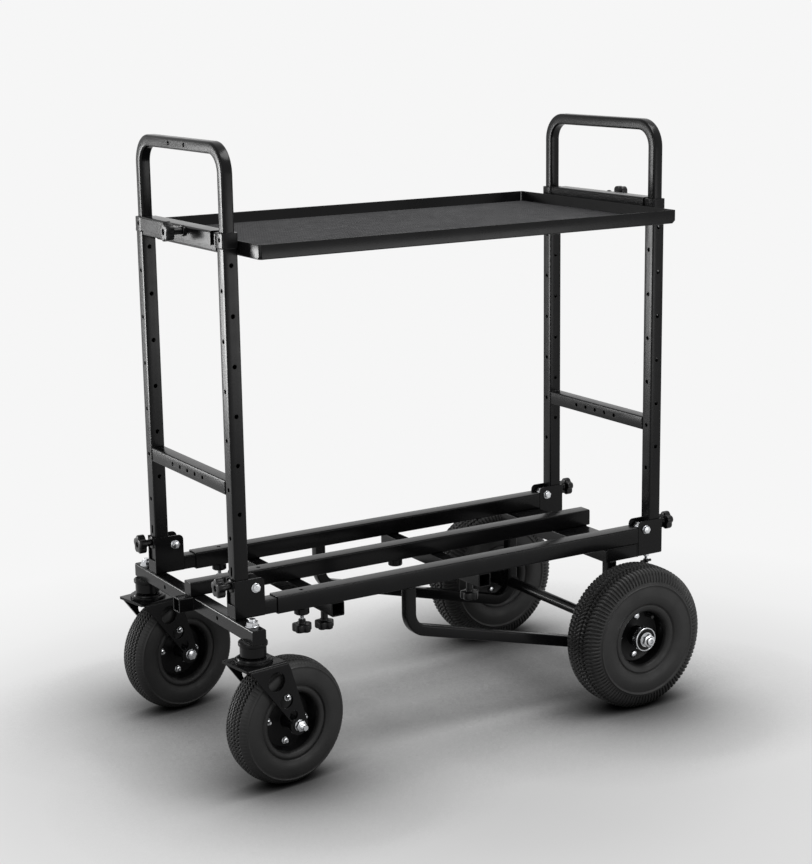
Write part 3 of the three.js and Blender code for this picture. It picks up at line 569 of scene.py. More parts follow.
def cut(bm, cutters):
    """Takes the closed shells of cutters away from bm."""
    objects = []
    for source in (bm, cutters):
        bmesh.ops.recalc_face_normals(source, faces=source.faces)
        mesh = bpy.data.meshes.new("scratch")
        source.to_mesh(mesh)
        source.free()
        made = bpy.data.objects.new("scratch", mesh)
        show(made)
        objects.append(made)
    body, tool = objects
    modifier = body.modifiers.new("cut", "BOOLEAN")
    modifier.operation = "DIFFERENCE"
    modifier.solver = "EXACT"
    modifier.object = tool
    shape = body.evaluated_get(bpy.context.evaluated_depsgraph_get()).to_mesh()
    result = bmesh.new()
    result.from_mesh(shape)
    for made in objects:
        mesh = made.data
        bpy.data.objects.remove(made)
        bpy.data.meshes.remove(mesh)
    return result


def drill(bm, holes):
    """Takes round holes, each a start, an end and a radius, away from bm."""
    cutters = bmesh.new()
    for start, end, radius in holes:
        add_rod(cutters, start, end, radius)
    return cut(bm, cutters)


# Sizes and places, in millimetres

FRONT_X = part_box("bracket_front_near")[0].x + 3 * MM
FRAME_LENGTH = 884
TRACK_Y = 157.5
GAP = 0.3
RAIL_SIZE = 30
RAIL_WALL = 2
RAIL_CENTRE = 296
RAIL_BOTTOM = RAIL_CENTRE - RAIL_SIZE / 2
RAIL_TOP = RAIL_CENTRE + RAIL_SIZE / 2
RAIL_MOUTH = 76
RAIL_PLACES = {"near": -TRACK_Y, "centre": 0, "far": TRACK_Y}
RAIL_ENDS = {"near": 831.7, "centre": 837.7, "far": 831.7}
RAIL_LOCK_X = 128
COLLAR_X = {"near": RAIL_LOCK_X, "centre": 407, "far": RAIL_LOCK_X}
TUBE_SIZE = 25
HALF_TUBE = TUBE_SIZE / 2
TUBE_END = 560
POST_CORNER = 2.5
POST_WALL = 1.8
SLEEVE_TOP = 919
HOLE_RADIUS = 3.7
PIN_HOLE_RADIUS = 3.8
RECEIVER_X = {"front": 191.5, "rear": 490}
RECEIVER_HALF = 169
RECEIVER_CLAMP_Y = -120
AXLE_X = 773
WHEEL_Y = 235
WHEEL_RADIUS = 133


# Wheels

def smooth_curve(points, spacing):
    """A Catmull-Rom curve through the points, as points about one spacing apart."""
    points = np.array(points, float)
    padded = np.vstack([2 * points[0] - points[1], points, 2 * points[-1] - points[-2]])
    dense = []
    for i in range(1, len(padded) - 2):
        a, b, c, d = padded[i - 1:i + 3]
        for t in np.linspace(0, 1, 24, endpoint=False):
            dense.append(0.5 * (2 * b + (c - a) * t + (2 * a - 5 * b + 4 * c - d) * t ** 2
                                + (3 * b - 3 * c + d - a) * t ** 3))
    dense.append(points[-1])
    dense = np.array(dense)
    lengths = np.concatenate([[0], np.cumsum(np.linalg.norm(np.diff(dense, axis=0), axis=1))])
    count = max(2, round(lengths[-1] / spacing) + 1)
    places = np.linspace(0, lengths[-1], count)
    return np.column_stack([np.interp(places, lengths, dense[:, k]) for k in (0, 1)])


def pulse(value, low, high, soft):
    """1 between low and high, 0 outside, with soft sides."""
    rise = np.clip((value - low) / soft + 0.5, 0, 1)
    fall = np.clip((high - value) / soft + 0.5, 0, 1)
    return np.minimum(rise, fall)


def zigzag(value):
    """From -1 to 1 and back as the value goes up by 1."""
    return 4 * np.abs(value - np.floor(value + 0.5)) - 1


# Side and shoulder are (radius, half width) points. A groove has a depth, a half width and a swing.
# Slots have a share of that depth, and their start and end in one lug's pitch.
# The ring has a radius and a height.
REAR_TYRE = {
    "side": [(50.1, 20), (50.5, 26.5), (52.2, 31), (55.6, 34), (60, 35.2), (64.6, 35.8), (68, 37.2),
             (73, 39.2), (80, 40.7), (87, 41), (95, 40.6), (102, 39.9)],
    "shoulder": [(102, 39.9), (108, 39.3), (114, 38.2), (120, 36), (125.4, 32.2), (129.6, 26.8), (132, 19.5),
                 (132.7, 10), (132.9, 0)],
    "lugs": 104,
    "steps": 10,
    "lug_from": 107,
    "lug_to": 29.5,
    "grooves": (0, 10.5, 21),
    "groove": (4.2, 1.9, 2.2),
    "sipes": 0.6,
    "slots": (0.62, 0.3, 0.7),
    "ring": (101.6, 2.1),
    "bead": 64.6,
}
CASTER_TYRE = {
    "side": [(51, 12), (51.3, 19), (52.8, 23.2), (55.6, 25.5), (59, 26), (62.2, 26.2), (65, 27.8), (70, 30),
             (76, 30.9), (83, 30.9), (89, 30.5)],
    "shoulder": [(89, 30.5), (94.5, 29.6), (99.5, 27.3), (103.3, 23.2), (105.8, 17.6), (107.1, 11.2),
                 (108.3, 4.5), (108.8, 0)],
    "lugs": 100,
    "steps": 8,
    "lug_from": 98,
    "lug_to": 21,
    "grooves": (0, 7.5, 15),
    "groove": (2.6, 1.2, 1.7),
    "sipes": 0.0,
    "slots": (0.2, 0.4, 0.6),
    "ring": (96, 1.3),
    "bead": 62.2,
}
BEYOND = 400
BEAD_DEPTH = 2.2


def make_tyre(name, form, body, where, replaces):
    """A tyre turned about local Z, with zigzag grooves round its tread and lugs on its shoulders."""
    side = smooth_curve(form["side"], 1.3)
    shoulder = smooth_curve(form["shoulder"], 1.15)
    half = np.vstack([side[:-1], shoulder])
    outline = np.vstack([half, half[-2::-1] * [1, -1]])
    radius, across = outline[:, 0], outline[:, 1]
    slope = np.gradient(outline, axis=0)
    slope /= np.linalg.norm(slope, axis=1)[:, None]
    outward = np.column_stack([-slope[:, 1], slope[:, 0]])
    outward *= np.sign(outward[len(outward) // 2, 0])
    steps = form["lugs"] * form["steps"]
    turns = np.arange(steps)[:, None]
    phase = turns / form["steps"]
    away = np.abs(across)[None, :]
    crown = pulse(radius, form["lug_from"], BEYOND, 2.5)[None, :]
    depth = np.zeros((steps, len(outline)))
    wave = zigzag(phase + np.where(across[None, :] < 0, 0.5, 0))
    deep, half_width, swing = form["groove"]
    for place in form["grooves"]:
        groove = pulse(away - place - swing * wave, -half_width, half_width, 0.9)
        depth = np.maximum(depth, deep * groove * crown)
    tread = pulse(away, -1, form["lug_to"], 1.5)
    sipes = pulse(np.mod(phase + 0.05 * away, 1), 0.36, 0.64, 0.2)
    depth = np.maximum(depth, form["sipes"] * deep * sipes * tread * crown)
    shoulders = pulse(away, form["lug_to"], BEYOND, 1.5) * crown
    share, start, end = form["slots"]
    slots = pulse(np.mod(phase + 0.015 * away, 1), start, end, 0.2)
    depth = np.maximum(depth, share * deep * slots * shoulders)
    ring_radius, ring_height = form["ring"]
    ring = np.exp(-((radius - ring_radius) / 1.2) ** 2)[None, :]
    bead = np.exp(-(radius - form["bead"]) ** 2)[None, :]
    depth = depth - ring_height * ring * (away > 10) + BEAD_DEPTH * bead
    angles = 2 * np.pi * turns / steps
    reach = radius[None, :] - depth * outward[None, :, 0]
    width = across[None, :] - depth * outward[None, :, 1]
    points = np.stack([reach * np.cos(angles), reach * np.sin(angles), width], axis=2)
    count = len(outline)
    here = turns * count
    there = (turns + 1) % steps * count
    j = np.arange(count)[None, :]
    k = (j + 1) % count
    faces = np.stack([here + j, there + j, there + k, here + k], axis=2).reshape(-1, 4)
    mesh = bpy.data.meshes.new(name)
    mesh.from_pydata(points.reshape(-1, 3).tolist(), [], faces.tolist())
    bm = bmesh.new()
    bm.from_mesh(mesh)
    bpy.data.meshes.remove(mesh)
    add_piece(name, bm, "tyre_rubber", body, where, replaces, sharp=48)


def mirrored(face):
    """The bowl's edge on the wheel's other side, up to the middle point that both share."""
    return [(r, -z) for r, z in reversed(face)][:-1]


def make_rear_wheel(name, side):
    """Drawn along local Z, with +Z outboard, round the middle of the wheel."""
    where = spot(AXLE_X, side * WHEEL_Y, WHEEL_RADIUS, turned(-side * math.pi / 2, "X"))
    body = f"rear_wheel_{name}"
    make_tyre(f"rear_tyre_tread_{name}", REAR_TYRE, body, where, [f"rear_tyre_{name}"])
    bm = bmesh.new()
    face = [(50.2, 25), (49.9, 24.6), (49.7, 23.8), (49.6, 18)]
    add_lathe(bm, [
        *mirrored(face), *face, (49.2, 8.6), (48.2, 5.6), (46, 4.4), (22, 4), (18, 5), (16.6, 7.6),
        (16, 12), (16, 26), (19.4, 26), (19.4, 36), (12.8, 36), (12.8, 33), (8.6, 33), (8.6, -63),
        (16, -63), (16, -2.4), (17.6, 0), (22, 1), (46, 1.4), (48.2, 0.4), (49.2, -2.4),
    ], count=96, loop=True)
    add_piece(f"rear_rim_dish_{name}", bm, "rim_paint", body, where, [f"rear_rim_{name}"])
    bm = bmesh.new()
    add_lathe(bm, [(19.6, 26), (22, 26), (22, 36.4), (21.6, 37), (20.2, 37), (19.6, 36.2)],
              count=72, loop=True)
    add_lathe(bm, [(8.6, 33), (12.6, 33), (12.6, 36.6), (12.2, 37), (8.6, 37)], count=48, loop=True)
    add_lathe(bm, [(13.4, 33), (18.6, 33), (18.6, 35.2), (17.8, 35.6), (14.2, 35.6), (13.4, 35.2)], loop=True)
    for i in range(4):
        at = turned(math.pi / 2 * i - math.radians(4), "Z") @ moved(36.5, 0, 4.2)
        add_lathe(bm, [(6.6, 0), (6.6, 2.4), (6, 3.4), (4.2, 4.1), (1.4, 4.4)], at, 40)
        add_hex(bm, 10, 0, 4, at @ moved(0, 0, -3) @ DOWN)
    add_piece(f"rear_wheel_hardware_{name}", bm, "zinc", body, where)
    bm = bmesh.new()
    at = turned(math.radians(52), "Z") @ moved(43, 0, 3)
    add_lathe(bm, [(4, 0), (4, 2.5), (2.9, 5), (2.7, 13), (3.4, 13.4), (3.4, 18.6), (2.8, 19.4)], at, 24)
    add_piece(f"rear_valve_{name}", bm, "tyre_rubber", body, where)

    bm = bmesh.new()
    add_lathe(bm, [(13.6, 37.3), (13.6, 38.6), (13.2, 38.9)], count=48)
    add_hex(bm, 21, 38.9, 48, turned(0.35, "Z"))
    add_piece(f"axle_nut_fine_{name}", bm, "zinc", "main_frame", where, [f"axle_nut_{name}"])
    bm = bmesh.new()
    add_lathe(bm, [(7.9, -62), (7.9, 51.2), (7.2, 52.6), (6, 53), (4.4, 53), (4, 51.4), (3.8, 49.4)],
              count=48)
    add_piece(f"axle_end_{name}", bm, "zinc", "main_frame", where)


def make_axle():
    bm = bmesh.new()
    add_lathe(bm, [(9.4, -151.2), (10, -150.6), (10, 150.6), (9.4, 151.2)], count=48)
    add_piece("axle_tube", bm, "powder_coat", "main_frame", spot(AXLE_X, 0, WHEEL_RADIUS, ALONG_Y), ["axle"])


# Casters

KINGPIN_X = 8.5
CASTER_SPAN = 421
CASTER_TURNS = {"near": 8, "far": 10}
CASTER_TRAIL = 60
CASTER_RADIUS = 109
FORK_TOP = 224
FORK_SHEET = 4.5
FORK_HALF = 39.7
FORK_BEND = 5.0
FORK_NOSE = 35
FORK_HIP = Vector((46, 211))
FORK_PLATE = (-38, 39)
FOOT_RADIUS = 17
BAR_TOP = 283.2

# Each hole's share of the way along and of the way up a fork's leg, and its radius
FORK_HOLES = ((0.29, 0.74, 16.72), (0.6, 0.415, 12.76), (0.82, 0.17, 8.36))


def fork_pattern():
    """One leg of a fork below the bend, as (along, up) points: the round of its foot, and its holes."""
    foot = Vector((CASTER_TRAIL, CASTER_RADIUS))
    front = math.atan2(FORK_TOP - CASTER_RADIUS, FORK_NOSE + CASTER_TRAIL) + math.pi / 2
    rear = math.atan2(FORK_HIP.x - foot.x, FORK_HIP.y - foot.y)
    first = math.pi + (math.pi / 2 - front) + math.pi / 8
    last = 2 * math.pi - rear
    holes = []
    for along, up, radius in FORK_HOLES:
        x, z = foot.x * along, foot.y + (FORK_TOP - foot.y) * up
        holes.append([(x + u, z + v) for u, v, _ in circle(radius, 0, 40)])
    return arc(foot.x, foot.y, FOOT_RADIUS, first, last, 24), holes


def make_fork(name, where):
    """One sheet, drawn flat, cut along its bends and folded down on both sides of the wheel."""
    foot, holes = fork_pattern()
    flat = FORK_HALF - FORK_BEND
    arc_length = FORK_BEND * math.pi / 2
    fold_z = FORK_TOP - FORK_BEND

    def unrolled(x, z, side):
        return (x, side * (flat + arc_length + fold_z - z), 0)

    outline = []
    loops = [outline]
    for side in (-1, 1):
        leg = [unrolled(x, z, side) for x, z in [*foot, FORK_HIP]]
        leg = [(FORK_PLATE[0], side * flat, 0), *leg, (FORK_PLATE[1], side * flat, 0)]
        outline += leg if side < 0 else leg[::-1]
        loops += [[unrolled(x, z, side) for x, z in hole] for hole in holes]
    loops.append(circle(7, 0, 32))
    bm = bmesh.new()
    edges = []
    for loop in loops:
        verts = [bm.verts.new(point) for point in loop]
        edges += [bm.edges.new((verts[i], verts[(i + 1) % len(verts)])) for i in range(len(verts))]
    bmesh.ops.triangle_fill(bm, use_beauty=True, use_dissolve=False, edges=edges)
    for side in (-1, 1):
        for step in range(9):
            geom = bm.verts[:] + bm.edges[:] + bm.faces[:]
            place = side * (flat + arc_length * step / 8)
            bmesh.ops.bisect_plane(bm, geom=geom, plane_co=(0, place, 0), plane_no=(0, 1, 0), dist=1e-5)
    bmesh.ops.recalc_face_normals(bm, faces=bm.faces)
    if bm.faces[0].normal.z < 0:
        bmesh.ops.reverse_faces(bm, faces=bm.faces)
    bmesh.ops.solidify(bm, geom=bm.faces[:], thickness=FORK_SHEET)
    top = max(v.co.z for v in bm.verts)
    for vert in bm.verts:
        x, s, z = vert.co
        depth = top - z
        side = 1 if s > 0 else -1
        s = abs(s)
        if s <= flat:
            vert.co = (x, side * s, FORK_TOP - depth)
        elif s <= flat + arc_length:
            angle = (s - flat) / FORK_BEND
            reach = FORK_BEND - depth
            vert.co = (x, side * (flat + reach * math.sin(angle)), fold_z + reach * math.cos(angle))
        else:
            vert.co = (x, side * (FORK_HALF - depth), fold_z - (s - flat - arc_length))
    add_lathe(bm, [(6.4, 224), (24, 224), (31.2, 224), (32, 224.8), (32, 228.4), (31.2, 229), (28, 229.2),
                   (27.4, 230.4), (26.8, 231.8), (24, 232), (6.4, 232)], count=72, loop=True)
    add_piece(f"fork_fine_{name}", bm, "powder_coat", f"caster_fork_{name}", where, [f"fork_{name}"],
              sharp=40)


def make_caster(name, side):
    turn = turned(math.radians(CASTER_TURNS[name]), "Z")
    y = side * CASTER_SPAN / 2
    make_fork(name, spot(KINGPIN_X, y, 0, turn))
    body = f"caster_wheel_{name}"
    middle = spot(KINGPIN_X, y, 0, turn @ moved(CASTER_TRAIL * MM, 0, CASTER_RADIUS * MM) @ ALONG_Y)
    make_tyre(f"caster_tyre_tread_{name}", CASTER_TYRE, body, middle, [f"caster_tyre_{name}"])
    bm = bmesh.new()
    face = [(51.1, 17), (50.8, 16.6), (50.6, 15.8), (50.5, 12)]
    add_lathe(bm, [
        *mirrored(face), *face, (50.4, 6), (49.4, 3), (47, 1.5), (16, 1.5), (13, 2.6), (12, 5), (12, 34.6),
        (5.3, 34.6), (5.3, -34.6), (12, -34.6), (12, -5), (13, -2.6), (16, -1.5), (44, -1.5), (46.6, -1.2),
    ], count=96, loop=True)
    add_piece(f"caster_rim_dish_{name}", bm, "rim_paint", body, middle, [f"caster_rim_{name}"])
    bm = bmesh.new()
    for i in range(4):
        for sign in (-1, 1):
            at = turned(math.pi / 2 * i + math.radians(6), "Z") @ moved(37, 0, 1.5 * sign) @ facing(sign)
            add_lathe(bm, [(6, 0), (6, 0.9), (5.7, 1.1)], at, 32)
            add_hex(bm, 9, 1.1, 4.8, at)
            add_lathe(bm, thread_profile(2.6, 4.8, 8.2, 1), at, 24)
    for sign in (-1, 1):
        add_lathe(bm, [(10, 34.6), (10, 34.8), (9.6, 35)], facing(sign), 40)
    add_piece(f"caster_wheel_hardware_{name}", bm, "zinc", body, middle)

    bm = bmesh.new()
    add_lathe(bm, [(4.9, -43), (4.9, 43)], count=32)
    for sign in (-1, 1):
        add_lathe(bm, [(9.8, 40), (9.8, 41.2), (9.4, 41.6)], facing(sign), 40)
    add_hex(bm, 17, 41.6, 47.4, facing(side))
    add_lathe(bm, thread_profile(4.9, 47.4, 58, 1.25), facing(side), 32)
    add_hex(bm, 17, 41.6, 47, facing(side) @ DOWN)
    add_piece(f"caster_axle_fine_{name}", bm, "zinc", f"caster_fork_{name}", middle, [f"caster_axle_{name}"])

    bm = bmesh.new()
    add_lathe(bm, [(11.4, BAR_TOP + GAP), (11.4, BAR_TOP + 1.6), (11, BAR_TOP + 1.9)], count=40)
    add_hex(bm, 18, BAR_TOP + 1.9, BAR_TOP + 8.8)
    add_lathe(bm, thread_profile(5.9, 214, BAR_TOP + 12.8, 1.5), count=32)
    add_hex(bm, 18, -219.2, -210.7, DOWN)
    add_piece(f"kingpin_fine_{name}", bm, "zinc", "front_frame", spot(KINGPIN_X, y, 0), [f"kingpin_{name}"])


# Star knobs, drawn along local Z: the neck starts at 0 and the face is at the given height

KNOB_LOBES = 5


def knob_ring(radius, lobes, z, count=80):
    points = []
    for i in range(count):
        angle = 2 * math.pi * i / count
        valley = (0.5 - 0.5 * math.cos(KNOB_LOBES * angle)) ** 1.6
        reach = radius * (1 - 0.2 * lobes * valley)
        points.append((reach * math.cos(angle), reach * math.sin(angle), z))
    return points


def make_knob(node, body, where, face, stud, stud_radius, threaded, bare=0):
    """The grip starts where the bare neck ends, and the stud reaches below 0."""
    back = face - 14
    rings = [
        (5.6, 0, bare), (6.2, 0, bare + 0.6), (6.2, 0, back - 4), (7.2, 0, back - 3.4), (7.6, 0, back - 0.8),
        (11, 0.4, back - 0.2), (15.4, 1, back), (16.7, 1, back + 0.8), (17, 1, back + 2.2), (17, 1, face - 3),
        (16.6, 1, face - 1.6), (15.6, 1, face - 0.7), (13.6, 0.9, face - 0.2), (8.6, 0.3, face),
        (5.6, 0, face), (4.9, 0, face - 0.7), (4.7, 0, face - 4.5),
    ]
    bm = bmesh.new()
    add_rings(bm, [knob_ring(*ring) for ring in rings])
    add_piece(f"{node}_grip", bm, "knob_plastic", body, where, [node], sharp=40)
    bm = bmesh.new()
    if threaded:
        profile = [(r, -z) for r, z in thread_profile(stud_radius, -1 - bare, stud, 1.25)]
    else:
        profile = [(stud_radius, 1 + bare), (stud_radius, -stud + 1), (stud_radius - 0.9, -stud)]
    add_lathe(bm, profile, count=32)
    add_lathe(bm, [(3.2, face - 4.6), (3.2, face - 3.4), (2.6, face - 3)], count=24)
    add_piece(f"{node}_stud", bm, "zinc", body, where)


def make_knobs():
    for name, side in SIDES.items():
        where = spot(RAIL_LOCK_X, side * TRACK_Y, RAIL_BOTTOM - 12.3, DOWN)
        make_knob(f"rail_lock_knob_{name}", f"rail_lock_{name}", where, 30.7, 14, 3.5, True, 9)
    for end, x in RECEIVER_X.items():
        where = spot(x, RECEIVER_CLAMP_Y, RAIL_BOTTOM - 25.6, DOWN)
        make_knob(f"receiver_knob_{end}", f"receiver_clamp_{end}", where, 33.7, 2.3, 3.5, True)


# Handles. Local X is 0 at the posts' outer face and points inboard.

HANDLES = {
    "front": {"body": "front_frame", "x": 0, "turn": 0, "drop": 0, "flip": 1, "knob_y": 31, "knob_turn": 0.2},
    "rear": {"body": "main_frame", "x": FRAME_LENGTH, "turn": math.pi, "drop": 28, "flip": -1, "knob_y": 0,
             "knob_turn": math.radians(36)},
}
HOLE_COUNT = 6
HOLE_PITCH = 81.3
SIDE_HOLES_Z = 461
FACE_HOLES_Z = 420
LAST_FACE_HOLE_Z = FACE_HOLES_Z + HOLE_COUNT * HOLE_PITCH
LOCK_HOLE_RADIUS = 3.3
LUG_RADIUS = 9
PIVOT_X = 35.5
PIVOT_UP = 50.5
LOCK_UP = 6
POST_LIFT = 14
PAST = 4
CROSS_TUBE_Z = 502.5
CROSS_HOLE_PITCH = 29.5
CROSSBAR_Z = 903
CROSSBAR_HEIGHT = 30
SHELF_CLAMP_Z = 912
HANDLE_TOP = 1050
HANDLE_SIZE = 20
HANDLE_BEND = 40
HANDLE_HOLE_Y = 30


def make_post(end, name, form, where, y, bottom, pivot_z, lock_z):
    low = SLEEVE_TOP - 25
    inner = TUBE_SIZE - 2 * POST_WALL
    rings = [
        (24.4, 2.5, bottom), (25, 2.5, bottom + 0.3), (25, 2.5, low - 0.6), (26.6, 3.4, low - 0.4),
        (27.9, 4.2, low + 0.5), (28.4, 4.6, low + 2), (28, 4.4, low + 4), (27.6, 4.2, low + 5.4),
        (27.6, 4.2, SLEEVE_TOP - 1.6), (27.4, 4.1, SLEEVE_TOP - 0.7), (26.6, 3.8, SLEEVE_TOP),
        (20.6, 2.6, SLEEVE_TOP), (20.4, 2.6, SLEEVE_TOP - 1.2), (inner, 0.8, SLEEVE_TOP - 1.6),
        (inner, 0.8, bottom),
    ]
    bm = bmesh.new()
    add_rings(bm, [square_ring(*ring) for ring in rings], moved(HALF_TUBE, y, 0), loop=True)
    cutters = bmesh.new()
    for i in range(HOLE_COUNT):
        z = SIDE_HOLES_Z + i * HOLE_PITCH
        add_rod(cutters, (HALF_TUBE, y - 16, z), (HALF_TUBE, y + 16, z), HOLE_RADIUS)
        z = FACE_HOLES_Z + i * HOLE_PITCH
        add_rod(cutters, (-PAST, y, z), (TUBE_SIZE + PAST, y, z), HOLE_RADIUS)
    add_rod(cutters, (-PAST, y, LAST_FACE_HOLE_Z), (POST_WALL, y, LAST_FACE_HOLE_Z), HOLE_RADIUS)
    add_rod(cutters, (-8, y, lock_z), (TUBE_SIZE + PAST, y, lock_z), LOCK_HOLE_RADIUS)
    slot = [(y + u, lock_z + 23.5 + v) for u, v in rounded_box(6, 17, 2.9)]
    add_slab(cutters, slot, "X", -3, POST_WALL + 2)
    bm = cut(bm, cutters)
    lug = [(24.5, pivot_z - LUG_RADIUS), *arc(PIVOT_X, pivot_z, LUG_RADIUS, -math.pi / 2, math.pi / 2, 16),
           (24.5, pivot_z + LUG_RADIUS)]
    for sign in (-1, 1):
        outer = y + sign * HALF_TUBE
        add_slab(bm, lug, "Y", outer, outer - sign * 3)
    add_lathe(bm, [(11.4, 0.2), (11.4, 2.4), (10.6, 3.6), (9.6, 4), (4, 4), (3.4, 3.6), (3.4, 0.2)],
              moved(0, y, lock_z) @ AGAINST_X, 48, loop=True)
    add_piece(f"post_fine_{end}_{name}", bm, "powder_coat", form["body"], where, [f"post_{end}_{name}"])


def make_pivot_bolt(end, name, form, where, y, pivot_z):
    bm = bmesh.new()
    add_lathe(bm, [(5, -16), (5, 16)], count=32)
    add_lathe(bm, [(9.7, -9.2), (9.7, 9.2)], count=40)
    for sign in (-1, 1):
        add_lathe(bm, [(8, 15.5), (8, 16.6), (7.6, 17)], facing(sign), 40)
    outer = facing(y * form["flip"])
    add_hex(bm, 12.5, 17, 20.8, outer @ turned(0.3, "Z"))
    add_lathe(bm, thread_profile(4.6, 20.8, 21.9, 0.5), outer, 32)
    add_hex(bm, 12.5, 17, 21.6, outer @ DOWN)
    where = where @ moved(PIVOT_X, y, pivot_z) @ ALONG_Y
    add_piece(f"pivot_bolt_fine_{end}_{name}", bm, "zinc", form["body"], where, [f"pivot_bolt_{end}_{name}"])


def make_crossbar(end, form, where):
    bm = bmesh.new()
    half = TRACK_Y - HALF_TUBE - GAP - 1.5
    rings = [
        (24.4, 29.4, 2.4, -half), (TUBE_SIZE, CROSSBAR_HEIGHT, 2.5, 0.3 - half),
        (TUBE_SIZE, CROSSBAR_HEIGHT, 2.5, half - 0.3), (24.4, 29.4, 2.4, half),
        (21.4, 26.4, 0.9, half), (21.4, 26.4, 0.9, -half),
    ]
    middle = moved(HALF_TUBE, 0, CROSSBAR_Z) @ ALONG_Y
    add_rings(bm, [box_ring(*ring) for ring in rings], middle, loop=True)
    below = CROSSBAR_Z - CROSSBAR_HEIGHT / 2
    for y in (-half - 0.1, half + 0.1):
        for x in (0, TUBE_SIZE):
            add_weld(bm, (x, y, CROSSBAR_Z - 12), (x, y, CROSSBAR_Z + 12.5), 1.2)
        add_weld(bm, (2.5, y, below), (22.5, y, below), 1.2)
    add_piece(f"crossbar_fine_{end}", bm, "powder_coat", form["body"], where, [f"crossbar_{end}"])


def make_shelf_hook(end, form, where):
    """A bent sheet over the crossbar: a short flange outside, a ledge under the tray inside."""
    line = [(-2.7, 897), (-2.7, 919.3), (26.4, 919.3), (26.4, 880.1), (58.4, 880.1)]
    y, z = -form["knob_y"], SHELF_CLAMP_Z
    bm = bmesh.new()
    add_slab(bm, fold_outline(line, 2.2, 2), "Y", -131, 142)
    bm = drill(bm, [((-12, y, z), (-1, y, z), PIN_HOLE_RADIUS)])
    add_lathe(bm, [(3.8, 0), (9.4, 0), (9.4, 3.4), (8.4, 4.5), (3.8, 4.5)],
              moved(-3.5, y, z) @ AGAINST_X, 40, loop=True)
    add_piece(f"shelf_hook_fine_{end}", bm, "powder_coat", form["body"], where, [f"shelf_hook_{end}"])


def make_bracket(name, form, where, y, bottom, pivot_z):
    """A bent channel round the lower end of a post, its top inner corners rounded."""
    sheet = 2.2
    middle = HALF_TUBE + 0.5 + sheet / 2
    top = bottom + 66.5
    low = bottom + sheet / 2
    outline = fold_outline([(-middle, top), (-middle, low), (middle, low), (middle, top)], 2.6, sheet)
    bm = bmesh.new()
    add_slab(bm, [(y + u, v) for u, v in outline], "X", -3, 52)
    corner = [(60, top + 4), (60, top - 9), *arc(43, top - 9, 9, 0, math.pi / 2, 12), (43, top + 4)]
    cutters = bmesh.new()
    add_slab(cutters, corner, "Y", y - 20, y + 20)
    add_rod(cutters, (PIVOT_X, y - 20, pivot_z), (PIVOT_X, y + 20, pivot_z), 5.3)
    bm = cut(bm, cutters)
    wall = middle - sheet / 2 + 0.2
    plate = [(y - wall, bottom + 0.8), (y + wall, bottom + 0.8), (y + wall, bottom + 23.5),
             (y - wall, bottom + 23.5)]
    add_slab(bm, plate, "X", -3, -0.8)
    add_piece(f"bracket_fine_{name}", bm, "powder_coat", form["body"], where, [f"bracket_{name}"])


def make_bent_handle(end, form, where):
    low = SIDE_HOLES_Z + (HOLE_COUNT - 1) * HOLE_PITCH + 7
    bm = bmesh.new()
    corners = [(HALF_TUBE, -TRACK_Y, low), (HALF_TUBE, -TRACK_Y, HANDLE_TOP),
               (HALF_TUBE, TRACK_Y, HANDLE_TOP), (HALF_TUBE, TRACK_Y, low)]
    add_bent_tube(bm, corners, HANDLE_BEND, HANDLE_SIZE, 4, (1, 0, 0))
    holes = []
    for side in (-1, 1):
        for y, z, x in ((HANDLE_HOLE_Y, HANDLE_TOP, HALF_TUBE), (TRACK_Y, LAST_FACE_HOLE_Z, HALF_TUBE + 7)):
            holes.append(((-PAST, side * y, z), (x, side * y, z), HOLE_RADIUS))
    add_piece(f"handle_fine_{end}", drill(bm, holes), "powder_coat", form["body"], where, [f"handle_{end}"])


def make_cross_tube(end, form, where):
    half = TRACK_Y - HALF_TUBE - GAP
    z = CROSS_TUBE_Z
    bm = bmesh.new()
    add_square_tube(bm, TUBE_SIZE, POST_CORNER, POST_WALL, -half, half, moved(HALF_TUBE, 0, z) @ ALONG_Y)
    places = [(i - 2) * CROSS_HOLE_PITCH for i in range(5)]
    bm = drill(bm, [((-PAST, y, z), (TUBE_SIZE + PAST, y, z), HOLE_RADIUS) for y in places])
    for side in (-1, 1):
        add_square_weld(bm, (HALF_TUBE, side * (half + 0.1), z), TUBE_SIZE, "Y")
    add_piece(f"cross_tube_fine_{end}", bm, "powder_coat", form["body"], where, [f"cross_tube_{end}"])


def make_handle(end):
    form = HANDLES[end]
    where = spot(form["x"], 0, 0, turned(form["turn"], "Z"))
    bottom = BAR_TOP + GAP - form["drop"]
    pivot_z = bottom + PIVOT_UP
    lock_z = pivot_z + LOCK_UP
    for name, side in SIDES.items():
        y = side * form["flip"] * TRACK_Y
        make_post(end, name, form, where, y, bottom + POST_LIFT, pivot_z, lock_z)
        make_pivot_bolt(end, name, form, where, y, pivot_z)
        make_knob(f"lock_knob_{end}_{name}", f"lock_plunger_{end}_{name}",
                  where @ moved(-4.3, y, lock_z) @ AGAINST_X, 26.7, 33.8, 3, False)
    knob = where @ moved(-8.3, -form["knob_y"], SHELF_CLAMP_Z) @ AGAINST_X @ turned(form["knob_turn"], "Z")
    make_knob(f"shelf_knob_{end}", f"shelf_clamp_{end}", knob, 31.7, 8, 3.5, True)
    make_bent_handle(end, form, where)
    make_cross_tube(end, form, where)
    make_crossbar(end, form, where)
    make_shelf_hook(end, form, where)
    for name, side in SIDES.items():
        make_bracket(f"{end}_{name}", form, where, side * form["flip"] * TRACK_Y, bottom, pivot_z)


# Frame

